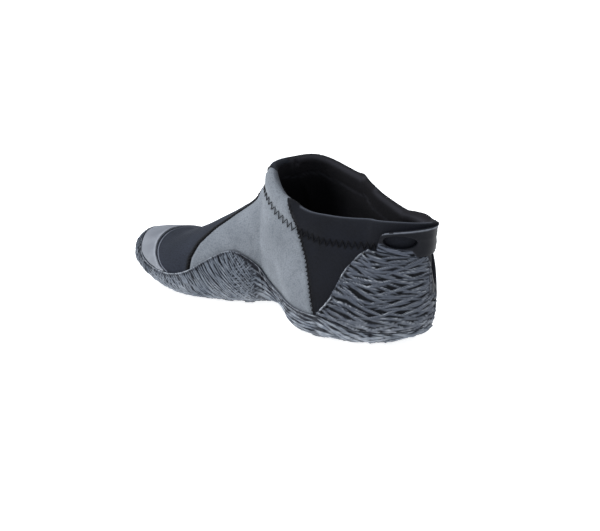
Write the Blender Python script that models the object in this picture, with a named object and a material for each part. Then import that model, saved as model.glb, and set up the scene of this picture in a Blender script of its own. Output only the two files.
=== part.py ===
"""Low neoprene wetsuit bootie for the right foot: one hollow upper, a rubber sole cup, an insole,
a heel counter, a toe cap and a pull tab. X runs from heel to toe, Y to the inner side, Z up."""
import math
from collections import namedtuple

import bmesh
import bpy
from mathutils import Vector
from mathutils.geometry import delaunay_2d_cdt

# Driving dimensions, millimetres
MM = 0.001
HEEL_CENTRE_X = 34.0
RIDGE_BEND_X = 196.0
RIDGE_END_X = 243.0
COLLAR_BEND_X = 96.0
COLLAR_FRONT_X = 129.5
COLLAR_ROUNDNESS = 2.2
HEEL_TOP_X = 1.2
HEEL_TOP_Z = 85.7
NEOPRENE = 3.0
HEM_HEIGHT = 20.0
HEM_EXTRA = 2.0
RIM_CROWN = 2.0
GAP = 0.35
RUBBER_WALL = 2.3
RUBBER_EDGE = 1.5
LUG_HEIGHT = 1.8
LUG_BEVEL = 1.0
RIB_RELIEF = 0.45
INSOLE_THICKNESS = 3.0
INSOLE_CLEARANCE = 1.2
COUNTER_THICKNESS = 2.3
CAP_THICKNESS = 1.0
TAB_LIFT = 0.2
TAB_THICKNESS = 2.4
TAB_FLARE = 1.6
TAB_HOLE_CENTRE = (20.0, 74.4)
TAB_HOLE_HALF = (11.5, 4.8)
NOTCH_CENTRE = 9.5
NOTCH_HALF = 9.5
NOTCH_LOW_Z = 38.0
NOTCH_HIGH_Z = 63.0

# Outline of the upper where it meets the sole, seen from above
OutlinePoint = namedtuple("OutlinePoint", "x y")
OUTLINE = [
    OutlinePoint(0.0, 0.0),
    OutlinePoint(7.0, -18.0),
    OutlinePoint(28.0, -30.5),
    OutlinePoint(62.0, -32.5),
    OutlinePoint(105.0, -34.0),
    OutlinePoint(152.0, -43.0),
    OutlinePoint(190.0, -46.0),
    OutlinePoint(222.0, -39.5),
    OutlinePoint(250.0, -21.0),
    OutlinePoint(264.5, 6.0),
    OutlinePoint(255.5, 25.5),
    OutlinePoint(238.0, 36.5),
    OutlinePoint(212.0, 41.5),
    OutlinePoint(184.0, 37.5),
    OutlinePoint(150.0, 24.0),
    OutlinePoint(126.0, 17.0),
    OutlinePoint(108.0, 23.2),
    OutlinePoint(90.0, 35.0),
    OutlinePoint(67.0, 40.8),
    OutlinePoint(30.0, 32.5),
    OutlinePoint(7.0, 18.0),
]

# Cross sections of the upper: height and half width of its top edge, direction and length
# of the top tangent, height share and outward swell of the side's tangent
Section = namedtuple("Section", "x top_inner top_outer top_half tilt handle rise swell_inner swell_outer")
SECTIONS = [
    Section(34.0, 84.8, 83.7, 21.0, 86.0, 24.0, 0.40, 2.5, 2.5),
    Section(57.0, 83.1, 90.8, 26.0, 86.0, 26.0, 0.40, 2.5, 2.5),
    Section(78.0, 83.6, 99.1, 30.0, 86.0, 28.0, 0.40, 3.0, 3.0),
    Section(96.0, 89.6, 103.8, 31.0, 84.0, 30.0, 0.42, 7.0, 3.0),
    Section(104.0, 92.8, 106.2, 30.0, 82.0, 28.5, 0.42, 12.0, 3.0),
    Section(110.0, 98.0, 108.0, 28.5, 80.0, 27.0, 0.42, 16.0, 3.0),
    Section(121.0, 107.4, 109.8, 20.0, 72.0, 22.0, 0.42, 18.0, 3.0),
    Section(129.5, 108.8, 108.8, 0.0, 0.0, 24.0, 0.42, 16.0, 3.0),
    Section(137.0, 92.2, 92.2, 0.0, 0.0, 28.0, 0.43, 14.0, 3.0),
    Section(146.5, 81.6, 81.6, 0.0, 0.0, 27.0, 0.44, 12.0, 3.0),
    Section(162.0, 70.0, 70.0, 0.0, 0.0, 25.0, 0.47, 8.0, 3.0),
    Section(180.0, 59.5, 59.5, 0.0, 0.0, 24.0, 0.50, 5.0, 3.0),
    Section(200.0, 48.5, 48.5, 0.0, 0.0, 25.0, 0.53, 3.0, 3.0),
    Section(222.0, 39.8, 39.8, 0.0, 0.0, 22.0, 0.56, 2.5, 3.0),
    Section(243.0, 37.8, 37.8, 0.0, 0.0, 14.0, 0.60, 2.5, 2.5),
]

# Points that the collar's front sections pass through, as half width and depth below the edge
Shoulder = namedtuple("Shoulder", "x half_inner half_outer drop_inner drop_outer")
SHOULDERS = [
    Shoulder(96.0, 32.8, 33.7, 22.1, 27.2),
    Shoulder(109.0, 31.2, 33.2, 19.6, 25.7),
    Shoulder(120.5, 26.8, 28.8, 20.2, 22.2),
    Shoulder(126.5, 22.0, 24.0, 17.4, 17.7),
    Shoulder(129.5, 18.4, 20.5, 15.0, 15.0),
]
SHOULDER_SHARE = 0.68

# Heights along the sole: underside, seat of the upper and top of the rubber wall on each side,
# and how far the rounded lower edge reaches in
Base = namedtuple("Base", "x under_inner under_outer seat_inner seat_outer "
                          "wall_inner wall_outer round_inner round_outer")
BASES = [
    Base(0.0, 7.0, 7.0, 10.0, 10.0, 13.0, 13.0, 8.5, 8.5),
    Base(16.0, 2.9, 2.9, 7.0, 7.0, 11.2, 11.2, 8.5, 8.5),
    Base(34.0, 1.8, 1.8, 6.5, 6.5, 11.0, 11.0, 7.5, 8.5),
    Base(60.0, 1.8, 1.8, 6.5, 6.5, 17.6, 17.2, 5.0, 8.5),
    Base(72.0, 1.8, 1.8, 6.5, 6.5, 17.4, 17.0, 4.0, 8.5),
    Base(92.0, 2.6, 2.2, 8.0, 7.5, 19.0, 18.0, 5.5, 8.0),
    Base(114.0, 7.0, 3.4, 13.0, 8.8, 22.0, 20.5, 8.0, 8.0),
    Base(136.0, 4.0, 2.6, 10.0, 8.0, 39.4, 33.5, 8.5, 8.5),
    Base(150.0, 2.2, 2.0, 8.0, 7.0, 43.6, 37.5, 8.5, 8.5),
    Base(166.0, 1.8, 1.8, 6.5, 6.5, 37.0, 33.0, 8.5, 8.5),
    Base(192.0, 1.8, 1.8, 6.5, 6.5, 20.4, 21.4, 8.5, 8.5),
    Base(204.0, 3.6, 3.6, 8.2, 8.2, 17.2, 17.6, 8.5, 8.5),
    Base(226.0, 8.6, 8.6, 13.0, 13.0, 19.2, 19.4, 8.5, 8.5),
    Base(240.0, 12.6, 12.6, 16.6, 16.6, 24.0, 24.0, 8.5, 8.5),
    Base(250.0, 15.4, 15.4, 19.2, 19.2, 30.0, 30.0, 8.5, 8.5),
    Base(264.5, 19.8, 19.8, 23.0, 23.0, 34.5, 34.5, 8.5, 8.5),
]

# Top edge of the heel counter and lower back edge of the toe cap, as height against X
EdgePoint = namedtuple("EdgePoint", "x z")
COUNTER_EDGE = [
    EdgePoint(0.0, 63.0),
    EdgePoint(6.0, 64.6),
    EdgePoint(14.0, 65.6),
    EdgePoint(21.5, 66.0),
    EdgePoint(26.0, 67.4),
    EdgePoint(30.0, 66.6),
    EdgePoint(34.0, 64.4),
    EdgePoint(39.0, 58.4),
    EdgePoint(44.0, 51.6),
    EdgePoint(47.0, 43.6),
    EdgePoint(51.0, 33.0),
    EdgePoint(55.0, 25.4),
    EdgePoint(60.4, 20.0),
]
CAP_EDGE = [
    EdgePoint(190.0, 15.0),
    EdgePoint(204.0, 16.2),
    EdgePoint(209.0, 17.4),
    EdgePoint(213.0, 19.2),
    EdgePoint(217.0, 21.4),
    EdgePoint(221.0, 24.8),
    EdgePoint(228.0, 31.0),
    EdgePoint(233.0, 36.0),
    EdgePoint(240.0, 42.0),
]

# Half of the pull tab's flat outline, from the middle of its lower edge to the middle of its top
TabPoint = namedtuple("TabPoint", "across z")
TAB_EDGE = [
    TabPoint(0.0, 63.9),
    TabPoint(9.0, 64.2),
    TabPoint(18.0, 65.5),
    TabPoint(27.0, 66.4),
    TabPoint(35.5, 67.0),
    TabPoint(36.6, 68.4),
    TabPoint(33.4, 77.6),
    TabPoint(31.4, 79.6),
    TabPoint(28.0, 80.4),
    TabPoint(19.0, 81.8),
    TabPoint(9.0, 82.8),
    TabPoint(0.0, 83.2),
]

ROW_SHARES = [0.0, 0.05, 0.11, 0.18, 0.26, 0.35, 0.45, 0.56, 0.67, 0.78, 0.89, 1.0]
TOP_ROW = len(ROW_SHARES) - 1
UNDER_SHARES = [0.0, 0.14, 0.42, 0.7, 0.97]
EDGE_STEPS = 4
WALL_STEPS = 8
CUP_STEPS = 4
COUNTER_STEPS = 13
COUNTER_SPLIT = 3
COUNTER_END = 10.25
HEEL_STATIONS = 8
COLLAR_STATIONS = 13
VAMP_STATIONS = 9
TOE_STATIONS = 11
INNER = 1
OUTER = -1


def smooth_column(rows, column):
    """One column of a table as a shape-keeping cubic function of x."""
    xs = [row.x for row in rows]
    ys = [getattr(row, column) for row in rows]
    count = len(xs)
    step = [(ys[k + 1] - ys[k]) / (xs[k + 1] - xs[k]) for k in range(count - 1)]
    slope = [step[0]] + [0.0] * (count - 2) + [step[-1]]
    for k in range(1, count - 1):
        if step[k - 1] * step[k] > 0:
            before = xs[k] - xs[k - 1]
            after = xs[k + 1] - xs[k]
            slope[k] = 3 * (before + after) / ((2 * after + before) / step[k - 1] + (after + 2 * before) / step[k])

    def value(x):
        x = min(max(x, xs[0]), xs[-1])
        k = max(n for n in range(count - 1) if xs[n] <= x)
        width = xs[k + 1] - xs[k]
        t = (x - xs[k]) / width
        start = (1 + 2 * t) * (1 - t) ** 2 * ys[k] + t * (1 - t) ** 2 * width * slope[k]
        return start + t * t * (3 - 2 * t) * ys[k + 1] + t * t * (t - 1) * width * slope[k + 1]
    return value


def closed_curve(points, steps=60):
    """Points on a closed curve through the given points."""
    knots = [Vector(p) for p in points]
    count = len(knots)
    curve = []
    for k in range(count):
        a, b, c, d = (knots[(k + n) % count] for n in (-1, 0, 1, 2))
        ab, bc, cd = ((q - p).length ** 0.5 for p, q in ((a, b), (b, c), (c, d)))
        leave = ((b - a) / ab - (c - a) / (ab + bc) + (c - b) / bc) * bc
        arrive = ((c - b) / bc - (d - b) / (bc + cd) + (d - c) / cd) * bc
        for n in range(steps):
            t = n / steps
            curve.append((2 * t**3 - 3 * t**2 + 1) * b + (t**3 - 2 * t**2 + t) * leave
                         + (-2 * t**3 + 3 * t**2) * c + (t**3 - t**2) * arrive)
    return curve


SECTION_AT = {name: smooth_column(SECTIONS, name) for name in Section._fields[1:]}
SHOULDER_AT = {name: smooth_column(SHOULDERS, name) for name in Shoulder._fields[1:]}
BASE_AT = {name: smooth_column(BASES, name) for name in Base._fields[1:]}
COUNTER_EDGE_AT = smooth_column(COUNTER_EDGE, "z")
CAP_EDGE_AT = smooth_column(CAP_EDGE, "z")
LOOP = closed_curve(OUTLINE)
BACK = min(range(len(LOOP)), key=lambda k: LOOP[k].x)
LOOP = LOOP[BACK:] + LOOP[:BACK + 1]
TIP = max(range(len(LOOP)), key=lambda k: LOOP[k].x)
HALF_OUTLINE = {OUTER: LOOP[:TIP + 1], INNER: LOOP[TIP:][::-1]}
BACK_X = LOOP[0].x
TIP_X = LOOP[TIP].x


def named(name, side):
    """Column name of one side in the tables."""
    return name + ("_inner" if side == INNER else "_outer")


def outline_y(x, side):
    """Y of the outline at x on one side."""
    line = HALF_OUTLINE[side]
    for a, b in zip(line, line[1:]):
        if a.x <= x <= b.x:
            return a.y + (b.y - a.y) * (x - a.x) / max(b.x - a.x, 1e-9)
    return line[-1].y if x > line[-1].x else line[0].y


def ridge_y(x):
    """Y of the foot's centre line, bent to the inner side at the toe."""
    if x < 130.0:
        return 0.0
    if x < 200.0:
        return 3.0 * (x - 130.0) / 70.0
    return 3.0 + 3.0 * (x - 200.0) / 43.0


def opening_half(x):
    """Half width of the collar's opening, rounded off at the front."""
    if x <= COLLAR_BEND_X:
        return SECTION_AT["top_half"](x)
    if x >= COLLAR_FRONT_X:
        return 0.0
    share = (x - COLLAR_BEND_X) / (COLLAR_FRONT_X - COLLAR_BEND_X)
    return SECTION_AT["top_half"](COLLAR_BEND_X) * (1 - share**COLLAR_ROUNDNESS) ** (1 / COLLAR_ROUNDNESS)


Station = namedtuple("Station", "x side centre outward points")


def station(x, side):
    """One rib of the upper: a cubic profile in the upright plane from the centre line to the outline."""
    if x < HEEL_CENTRE_X:
        centre_x = HEEL_CENTRE_X
    elif x < RIDGE_BEND_X:
        centre_x = x
    else:
        centre_x = RIDGE_BEND_X + (x - RIDGE_BEND_X) * (RIDGE_END_X - RIDGE_BEND_X) / (TIP_X - RIDGE_BEND_X)
    centre = Vector((centre_x, ridge_y(centre_x), 0.0))
    outward = Vector((x, outline_y(x, side), 0.0)) - centre
    reach = outward.length
    outward.normalize()
    seat_z = BASE_AT[named("seat", side)](x)
    top_at = SECTION_AT[named("top", side)]
    top_z = top_at(centre_x)
    half = opening_half(centre_x)
    slope = 0.0
    if centre_x >= COLLAR_FRONT_X:
        slope = top_at(centre_x + 0.5) - top_at(centre_x - 0.5)
    elif x < HEEL_CENTRE_X:
        half = 1 / math.hypot(outward.x / (HEEL_CENTRE_X - HEEL_TOP_X), outward.y / half)
        top_z += (HEEL_TOP_Z - top_z) * ((HEEL_CENTRE_X - x) / (HEEL_CENTRE_X - BACK_X)) ** 2
    tilt = math.radians(SECTION_AT["tilt"](centre_x))
    handle = SECTION_AT["handle"](centre_x)
    swell = SECTION_AT[named("swell", side)](centre_x)
    rise = SECTION_AT["rise"](centre_x) * (top_z - seat_z)
    foot = Vector((reach, seat_z))
    knee = Vector((reach + swell, seat_z + rise))
    top = Vector((half, top_z))
    shoulder = top + handle * Vector((math.cos(tilt), slope * outward.x - math.sin(tilt)))
    if COLLAR_BEND_X < centre_x < COLLAR_FRONT_X:
        t = SHOULDER_SHARE
        passed = Vector((SHOULDER_AT[named("half", side)](centre_x), top_z - SHOULDER_AT[named("drop", side)](centre_x)))
        shoulder = (passed - (1 - t) ** 3 * foot - 3 * (1 - t) ** 2 * t * knee - t**3 * top) / (3 * (1 - t) * t**2)
    points = []
    for t in ROW_SHARES:
        flat = (1 - t) ** 3 * foot + 3 * (1 - t) ** 2 * t * knee + 3 * (1 - t) * t**2 * shoulder + t**3 * top
        points.append(centre + flat.x * outward + Vector((0.0, 0.0, flat.y)))
    return Station(x, side, centre, outward, points)


def station_positions():
    """X of every station along one side, from the heel's back to the tip of the toe."""
    quarter = math.pi / 2
    places = []
    for k in range(HEEL_STATIONS):
        places.append(HEEL_CENTRE_X - (HEEL_CENTRE_X - BACK_X) * math.cos(quarter * k / HEEL_STATIONS))
    for k in range(COLLAR_STATIONS):
        share = 1 - (1 - k / COLLAR_STATIONS) ** 1.7
        places.append(HEEL_CENTRE_X + (COLLAR_FRONT_X - HEEL_CENTRE_X) * share)
    for k in range(VAMP_STATIONS):
        places.append(COLLAR_FRONT_X + (RIDGE_BEND_X - COLLAR_FRONT_X) * k / VAMP_STATIONS)
    for k in range(TOE_STATIONS + 1):
        places.append(RIDGE_BEND_X + (TIP_X - RIDGE_BEND_X) * math.sin(quarter * k / TOE_STATIONS))
    return places


PLACES = station_positions()
LAST = len(PLACES) - 1
FRONT = HEEL_STATIONS + COLLAR_STATIONS
SKIN = {side: [station(x, side) for x in PLACES] for side in (INNER, OUTER)}


def corner_key(point):
    """Rounded place of a corner, the same for corners that meet."""
    return tuple(round(c, 3) for c in point)


def skin_normals():
    """Outward direction at every corner of the upper's outer face."""
    total = {}
    for side in (INNER, OUTER):
        for a, b in zip(SKIN[side], SKIN[side][1:]):
            for j in range(TOP_ROW):
                corners = (a.points[j], b.points[j], b.points[j + 1], a.points[j + 1])
                across = (corners[2] - corners[0]).cross(corners[3] - corners[1]) * side
                for corner in corners:
                    key = corner_key(corner)
                    total[key] = total.get(key, Vector()) - across
    return {key: direction.normalized() for key, direction in total.items()}


NORMALS = skin_normals()


def on_skin(side, place, row, out):
    """Point on the upper's outer face between its stations and rows, moved outward by a distance."""
    i = min(int(place), LAST - 1)
    j = min(int(row), TOP_ROW - 1)
    u = place - i
    v = row - j
    point = Vector()
    normal = Vector()
    for di, dj, share in ((0, 0, (1 - u) * (1 - v)), (1, 0, u * (1 - v)), (0, 1, (1 - u) * v), (1, 1, u * v)):
        corner = SKIN[side][i + di].points[j + dj]
        point += share * corner
        normal += share * NORMALS[corner_key(corner)]
    return point + out * normal.normalized()


def place_x(place):
    """X of a place between two stations."""
    i = min(int(place), LAST - 1)
    return PLACES[i] + (PLACES[i + 1] - PLACES[i]) * (place - i)


def row_at_height(side, place, z):
    """Row of the upper's outer face at a height."""
    low = on_skin(side, place, 0, 0.0).z
    for j in range(TOP_ROW):
        high = on_skin(side, place, j + 1, 0.0).z
        if z <= high:
            return j + max(z - low, 0.0) / max(high - low, 1e-6)
        low = high
    return float(TOP_ROW)


class Surface:
    """Corners and faces of one piece; corners that meet are one corner."""

    def __init__(self):
        self.points = []
        self.faces = []
        self.index = {}

    def corner(self, point):
        key = corner_key(point)
        if key not in self.index:
            self.index[key] = len(self.points)
            self.points.append(point)
        return self.index[key]

    def face(self, *points):
        ring = []
        for point in points:
            k = self.corner(point)
            if k not in ring:
                ring.append(k)
        if len(ring) > 2:
            self.faces.append(ring)

    def grid(self, lines):
        for a, b in zip(lines, lines[1:]):
            for j in range(len(a) - 1):
                self.face(a[j], b[j], b[j + 1])
                self.face(a[j], b[j + 1], a[j + 1])


def finish_piece(name, surface, colour, roughness):
    """Named mesh object in metres with its own material."""
    mesh = bpy.data.meshes.new(name)
    mesh.from_pydata([point * MM for point in surface.points], [], surface.faces)
    work = bmesh.new()
    work.from_mesh(mesh)
    bmesh.ops.recalc_face_normals(work, faces=work.faces)
    work.to_mesh(mesh)
    work.free()
    material = bpy.data.materials.new(name + "_material")
    material.use_nodes = True
    shader = material.node_tree.nodes["Principled BSDF"]
    shader.inputs["Base Color"].default_value = (*colour, 1.0)
    shader.inputs["Roughness"].default_value = roughness
    mesh.materials.append(material)
    piece = bpy.data.objects.new(name, mesh)
    bpy.context.collection.objects.link(piece)
    return piece


def close_edges(surface, patch, low, high):
    """Joins the free edges of a patch of triangles to the same edges of its other face."""
    uses = {}
    for ring in patch:
        for a, b in zip(ring, ring[1:] + ring[:1]):
            uses.setdefault(frozenset((a, b)), []).append((a, b))
    for found in uses.values():
        if len(found) == 1:
            a, b = found[0]
            surface.face(low[a], low[b], high[b])
            surface.face(low[a], high[b], high[a])


def shell(sheet, low, high):
    """Closed plate over a sheet of triangles, between two lists of corners."""
    surface = Surface()
    for ring in sheet:
        surface.face(*(low[k] for k in ring))
        surface.face(*(high[k] for k in ring))
    close_edges(surface, sheet, low, high)
    return surface


def joined_sheet(lines_by_side, make_low, make_high):
    """Both sides of a piece as one sheet of (side, place, row) corners with its two faces."""
    sheet = Surface()
    low = []
    high = []
    for side, lines in lines_by_side.items():
        grid = []
        for line in lines:
            grid.append([on_skin(side, place, row, 0.0) for place, row in line])
            for n, (place, row) in enumerate(line):
                k = sheet.corner(grid[-1][n])
                if k == len(low):
                    low.append(make_low(side, place, row))
                    high.append(make_high(side, place, row, len(grid) - 1, n))
        sheet.grid(grid)
    return shell(sheet.faces, low, high)


for old in list(bpy.data.objects):
    bpy.data.objects.remove(old, do_unlink=True)

# Upper: the outer face and an inner face one wall thickness inside, thicker along the hem
RIM = [SKIN[side][i].points[TOP_ROW] for side in (INNER, OUTER) for i in range(FRONT + 1)]


def wall_thickness(point):
    """Neoprene thickness, raised over the hem below the collar's edge."""
    nearest = min((point - edge).length for edge in RIM)
    share = min(max((HEM_HEIGHT + 2.0 - nearest) / 4.0, 0.0), 1.0)
    return NEOPRENE + HEM_EXTRA * share


upper = Surface()
for side in (INNER, OUTER):
    skin_out = [rib.points for rib in SKIN[side]]
    skin_in = [[p - wall_thickness(p) * NORMALS[corner_key(p)] for p in rib] for rib in skin_out]
    upper.grid(skin_out)
    upper.grid(skin_in)
    upper.grid([[a[0], b[0]] for a, b in zip(skin_out, skin_in)])
    rounded = []
    for a, b in list(zip(skin_out, skin_in))[:FRONT + 1]:
        crown = (a[TOP_ROW] + b[TOP_ROW]) / 2 + Vector((0.0, 0.0, RIM_CROWN))
        rounded.append([a[TOP_ROW], crown, b[TOP_ROW]])
    upper.grid(rounded)
finish_piece("upper", upper, (0.045, 0.047, 0.055), 0.85)


# Outsole: lugged underside, rounded edge, ribbed outer wall with its wings, and the cup that takes the upper
def spine_height(name, x):
    """Height of the sole's centre line, the mean of both sides."""
    return (BASE_AT[name + "_inner"](x) + BASE_AT[name + "_outer"](x)) / 2


def sole_floor(side, i, share):
    """Point on the cup's floor, from the centre line out to the seat of the upper."""
    rib = SKIN[side][i]
    seat = rib.points[0]
    middle = rib.centre + Vector((0.0, 0.0, spine_height("seat", rib.centre.x) - GAP))
    edge = seat + GAP * rib.outward - Vector((0.0, 0.0, GAP))
    height = middle.z + (edge.z - middle.z) * share**2
    point = middle.lerp(edge, share)
    return Vector((point.x, point.y, height))


def sole_section(side, i):
    """Closed half section of the sole at one station, from the underside round to the floor."""
    rib = SKIN[side][i]
    under_z = BASE_AT[named("under", side)](rib.x)
    spine_z = spine_height("under", rib.centre.x)
    edge = on_skin(side, i, 0, GAP + RUBBER_WALL)
    reach = (edge - rib.centre).xy.length
    flat = max(reach - BASE_AT[named("round", side)](rib.x), 0.4 * reach)
    line = []
    for share in UNDER_SHARES:
        height = spine_z + (under_z - spine_z) * share**2
        line.append(rib.centre + share * flat * rib.outward + Vector((0.0, 0.0, height)))
    for k in range(1, EDGE_STEPS + 1):
        turn = math.pi / 2 * k / EDGE_STEPS
        out = flat + (reach - flat) * math.sin(turn)
        height = under_z + (edge.z - under_z) * (1 - math.cos(turn))
        line.append(rib.centre + out * rib.outward + Vector((0.0, 0.0, height)))
    top_row = row_at_height(side, i, BASE_AT[named("wall", side)](rib.x))
    wall_height = (on_skin(side, i, top_row, 0.0) - rib.points[0]).length
    relief = min(RIB_RELIEF, 0.22 * wall_height / WALL_STEPS)
    for k in range(1, WALL_STEPS + 1):
        share = k / WALL_STEPS
        out = GAP + RUBBER_WALL + (RUBBER_EDGE - RUBBER_WALL) * share
        if k < WALL_STEPS:
            out += relief if (i + k) % 2 else -relief
        line.append(on_skin(side, i, top_row * share, out))
    for k in range(CUP_STEPS, 0, -1):
        line.append(on_skin(side, i, top_row * k / CUP_STEPS, GAP))
    for share in (1.0, 0.5, 0.0):
        line.append(sole_floor(side, i, share))
    return line


outsole = Surface()
for side in (INNER, OUTER):
    outsole.grid([sole_section(side, i) for i in range(LAST + 1)])
sole_piece = finish_piece("outsole", outsole, (0.075, 0.08, 0.09), 0.6)

# Lugs: cross bars pressed down from the underside, staggered between the two sides
LugRun = namedtuple("LugRun", "first last first_column last_column")
LUG_RUNS = [
    LugRun(0, 7, 2, 4),
    LugRun(8, 12, 1, 4),
    LugRun(23, 36, 1, 4),
]
work = bmesh.new()
work.from_mesh(sole_piece.data)
work.verts.ensure_lookup_table()
for side in (INNER, OUTER):
    for run in LUG_RUNS:
        start = run.first + (1 if side == OUTER else 0)
        for i in range(start, run.last + 1, 2):
            corners = set()
            for n in (i, i + 1):
                for point in sole_section(side, n)[run.first_column:run.last_column + 1]:
                    corners.add(outsole.index[corner_key(point)])
            bar = [face for face in work.faces if all(v.index in corners for v in face.verts)]
            bmesh.ops.inset_region(work, faces=bar, thickness=LUG_BEVEL * MM, use_even_offset=True)
            for vertex in {v for face in bar for v in face.verts}:
                vertex.co.z -= LUG_HEIGHT * MM
bmesh.ops.triangulate(work, faces=[face for face in work.faces if len(face.verts) > 3])
work.to_mesh(sole_piece.data)
work.free()

# Insole: a plate on the cup's floor, clear of the upper's inner face
insole = Surface()
for side in (INNER, OUTER):
    low_lines = []
    high_lines = []
    for i in range(LAST + 1):
        rib = SKIN[side][i]
        reach = (rib.points[0] - rib.centre).xy.length
        rim_share = (reach - NEOPRENE - INSOLE_CLEARANCE) / (reach + GAP)
        shares = (0.0, 0.5, rim_share)
        lift = Vector((0.0, 0.0, GAP))
        low_lines.append([sole_floor(side, i, share) + lift for share in shares])
        high_lines.append([point + Vector((0.0, 0.0, INSOLE_THICKNESS)) for point in low_lines[-1]])
    insole.grid(low_lines)
    insole.grid(high_lines)
    insole.grid([[low[-1], high[-1]] for low, high in zip(low_lines, high_lines)])
finish_piece("insole", insole, (0.02, 0.02, 0.022), 0.9)

# Heel counter: a ribbed rubber shell round the heel, above the sole's rim, with a flex notch behind
HEEL_ARC = [0.0]
for a, b in zip(PLACES[:HEEL_STATIONS + 3], PLACES[1:]):
    HEEL_ARC.append(HEEL_ARC[-1] + math.hypot(b - a, outline_y(b, INNER) - outline_y(a, INNER)))


def heel_across(place):
    """Distance round the heel from its middle to a place between two stations."""
    i = min(int(place), len(HEEL_ARC) - 2)
    return HEEL_ARC[i] + (HEEL_ARC[i + 1] - HEEL_ARC[i]) * (place - i)


def counter_top(side, place):
    """Height of the counter's top edge, cut down by the notch on the outer side of the heel's middle."""
    edge = COUNTER_EDGE_AT(place_x(place))
    if side == INNER:
        return edge
    share = abs(heel_across(place) - NOTCH_CENTRE) / NOTCH_HALF
    return min(edge, NOTCH_LOW_Z + (NOTCH_HIGH_Z - NOTCH_LOW_Z) * share)


side_places = [HEEL_STATIONS + k / COUNTER_SPLIT for k in range(2 * COUNTER_SPLIT + 1)] + [COUNTER_END]
counter_places = {
    INNER: [float(i) for i in range(HEEL_STATIONS)] + side_places,
    OUTER: [k / 2 for k in range(8)] + [float(i) for i in range(4, HEEL_STATIONS)] + side_places,
}
counter_lines = {}
for side in (INNER, OUTER):
    lines = []
    for place in counter_places[side]:
        x = place_x(place)
        low_row = row_at_height(side, place, BASE_AT[named("wall", side)](x) + GAP + 0.3)
        high_row = row_at_height(side, place, counter_top(side, place))
        lines.append([(place, low_row + (high_row - low_row) * k / COUNTER_STEPS) for k in range(COUNTER_STEPS + 1)])
    counter_lines[side] = lines


def counter_out(side, place, row, i, k):
    """Outer face of the counter, raised and sunk in turn to make its leaf ribs, thin at its free edge."""
    step = (counter_lines[side][i][-1][1] - counter_lines[side][i][0][1]) / COUNTER_STEPS
    height = (on_skin(side, place, row, 0.0) - on_skin(side, place, row - step if k else row + step, 0.0)).length
    relief = min(RIB_RELIEF, 0.22 * height)
    edge = k in (0, COUNTER_STEPS)
    wave = 0.0 if edge else (relief if (i + k) % 2 else -relief)
    return on_skin(side, place, row, GAP + COUNTER_THICKNESS * (0.75 if edge else 1.0) + wave)


counter = joined_sheet(counter_lines, lambda side, place, row: on_skin(side, place, row, GAP), counter_out)
finish_piece("heel_counter", counter, (0.06, 0.064, 0.072), 0.6)

# Toe cap: a thin smooth band from the sole's rand up to the seam behind the toe
CAP_FIRST = next(i for i in range(LAST) if PLACES[i] > 183.0)
toe_sheet = Surface()
rand_height = {}
for side in (INNER, OUTER):
    toe_sheet.grid([rib.points for rib in SKIN[side][CAP_FIRST:]])
    for rib in SKIN[side][CAP_FIRST:]:
        for point in rib.points:
            rand_height[corner_key(point)] = BASE_AT[named("wall", side)](rib.x)


def above_rand(point):
    """Height of a corner above the top of the sole's wall, less the joint."""
    return point.z - rand_height[corner_key(point)] - GAP - 0.3


def before_seam(point):
    """Height below the seam behind the toe."""
    return CAP_EDGE_AT(point.x) - point.z


def cut_sheet(sheet, normals, field):
    """The part of a sheet of triangles where the field is positive, with its outward directions."""
    values = [0.0 if abs(field(point)) < 0.2 else field(point) for point in sheet.points]
    kept = Surface()
    kept_normals = {}

    def keep(point, normal):
        kept_normals[kept.corner(point)] = normal
        return point

    for ring in sheet.faces:
        if max(values[k] for k in ring) <= 0.0:
            continue
        corners = []
        for a, b in zip(ring, ring[1:] + ring[:1]):
            if values[a] >= 0.0:
                corners.append(keep(sheet.points[a], normals[a]))
            if values[a] * values[b] < 0.0:
                share = values[a] / (values[a] - values[b])
                crossing = sheet.points[a].lerp(sheet.points[b], share)
                corners.append(keep(crossing, normals[a].lerp(normals[b], share).normalized()))
        for n in range(1, len(corners) - 1):
            kept.face(corners[0], corners[n], corners[n + 1])
    return kept, [kept_normals[k] for k in range(len(kept.points))]


cap_normals = [NORMALS[corner_key(point)] for point in toe_sheet.points]
cap_sheet, cap_normals = cut_sheet(toe_sheet, cap_normals, above_rand)
cap_sheet, cap_normals = cut_sheet(cap_sheet, cap_normals, before_seam)
cap_low = [point + GAP * normal for point, normal in zip(cap_sheet.points, cap_normals)]
cap_high = [point + (GAP + CAP_THICKNESS) * normal for point, normal in zip(cap_sheet.points, cap_normals)]
finish_piece("toe_cap", shell(cap_sheet.faces, cap_low, cap_high), (0.2, 0.215, 0.24), 0.55)

# Pull tab: a rubber plate round the back of the heel with a finger hole on each side
def on_heel(across, z, out):
    """Point on the back of the heel at a distance round from its middle and a height."""
    side = INNER if across >= 0 else OUTER
    arc = abs(across)
    k = max(n for n in range(len(HEEL_ARC) - 1) if HEEL_ARC[n] <= arc)
    place = k + (arc - HEEL_ARC[k]) / (HEEL_ARC[k + 1] - HEEL_ARC[k])
    return on_skin(side, place, row_at_height(side, place, z), out)


def tab_outline():
    """Flat outline of the whole tab, its half edge with a point between each two, and the mirror of it."""
    half = [Vector(TAB_EDGE[0])]
    for a, b in zip(TAB_EDGE, TAB_EDGE[1:]):
        half += [Vector(a).lerp(Vector(b), 0.5), Vector(b)]
    return half + [Vector((-point.x, point.y)) for point in half[-2:0:-1]]


def tab_hole(side, steps=14):
    """Flat outline of one finger hole."""
    ring = []
    for k in range(steps):
        turn = 2 * math.pi * k / steps
        ring.append(Vector((side * TAB_HOLE_CENTRE[0] + TAB_HOLE_HALF[0] * math.cos(turn),
                            TAB_HOLE_CENTRE[1] + TAB_HOLE_HALF[1] * math.sin(turn))))
    return ring


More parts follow.
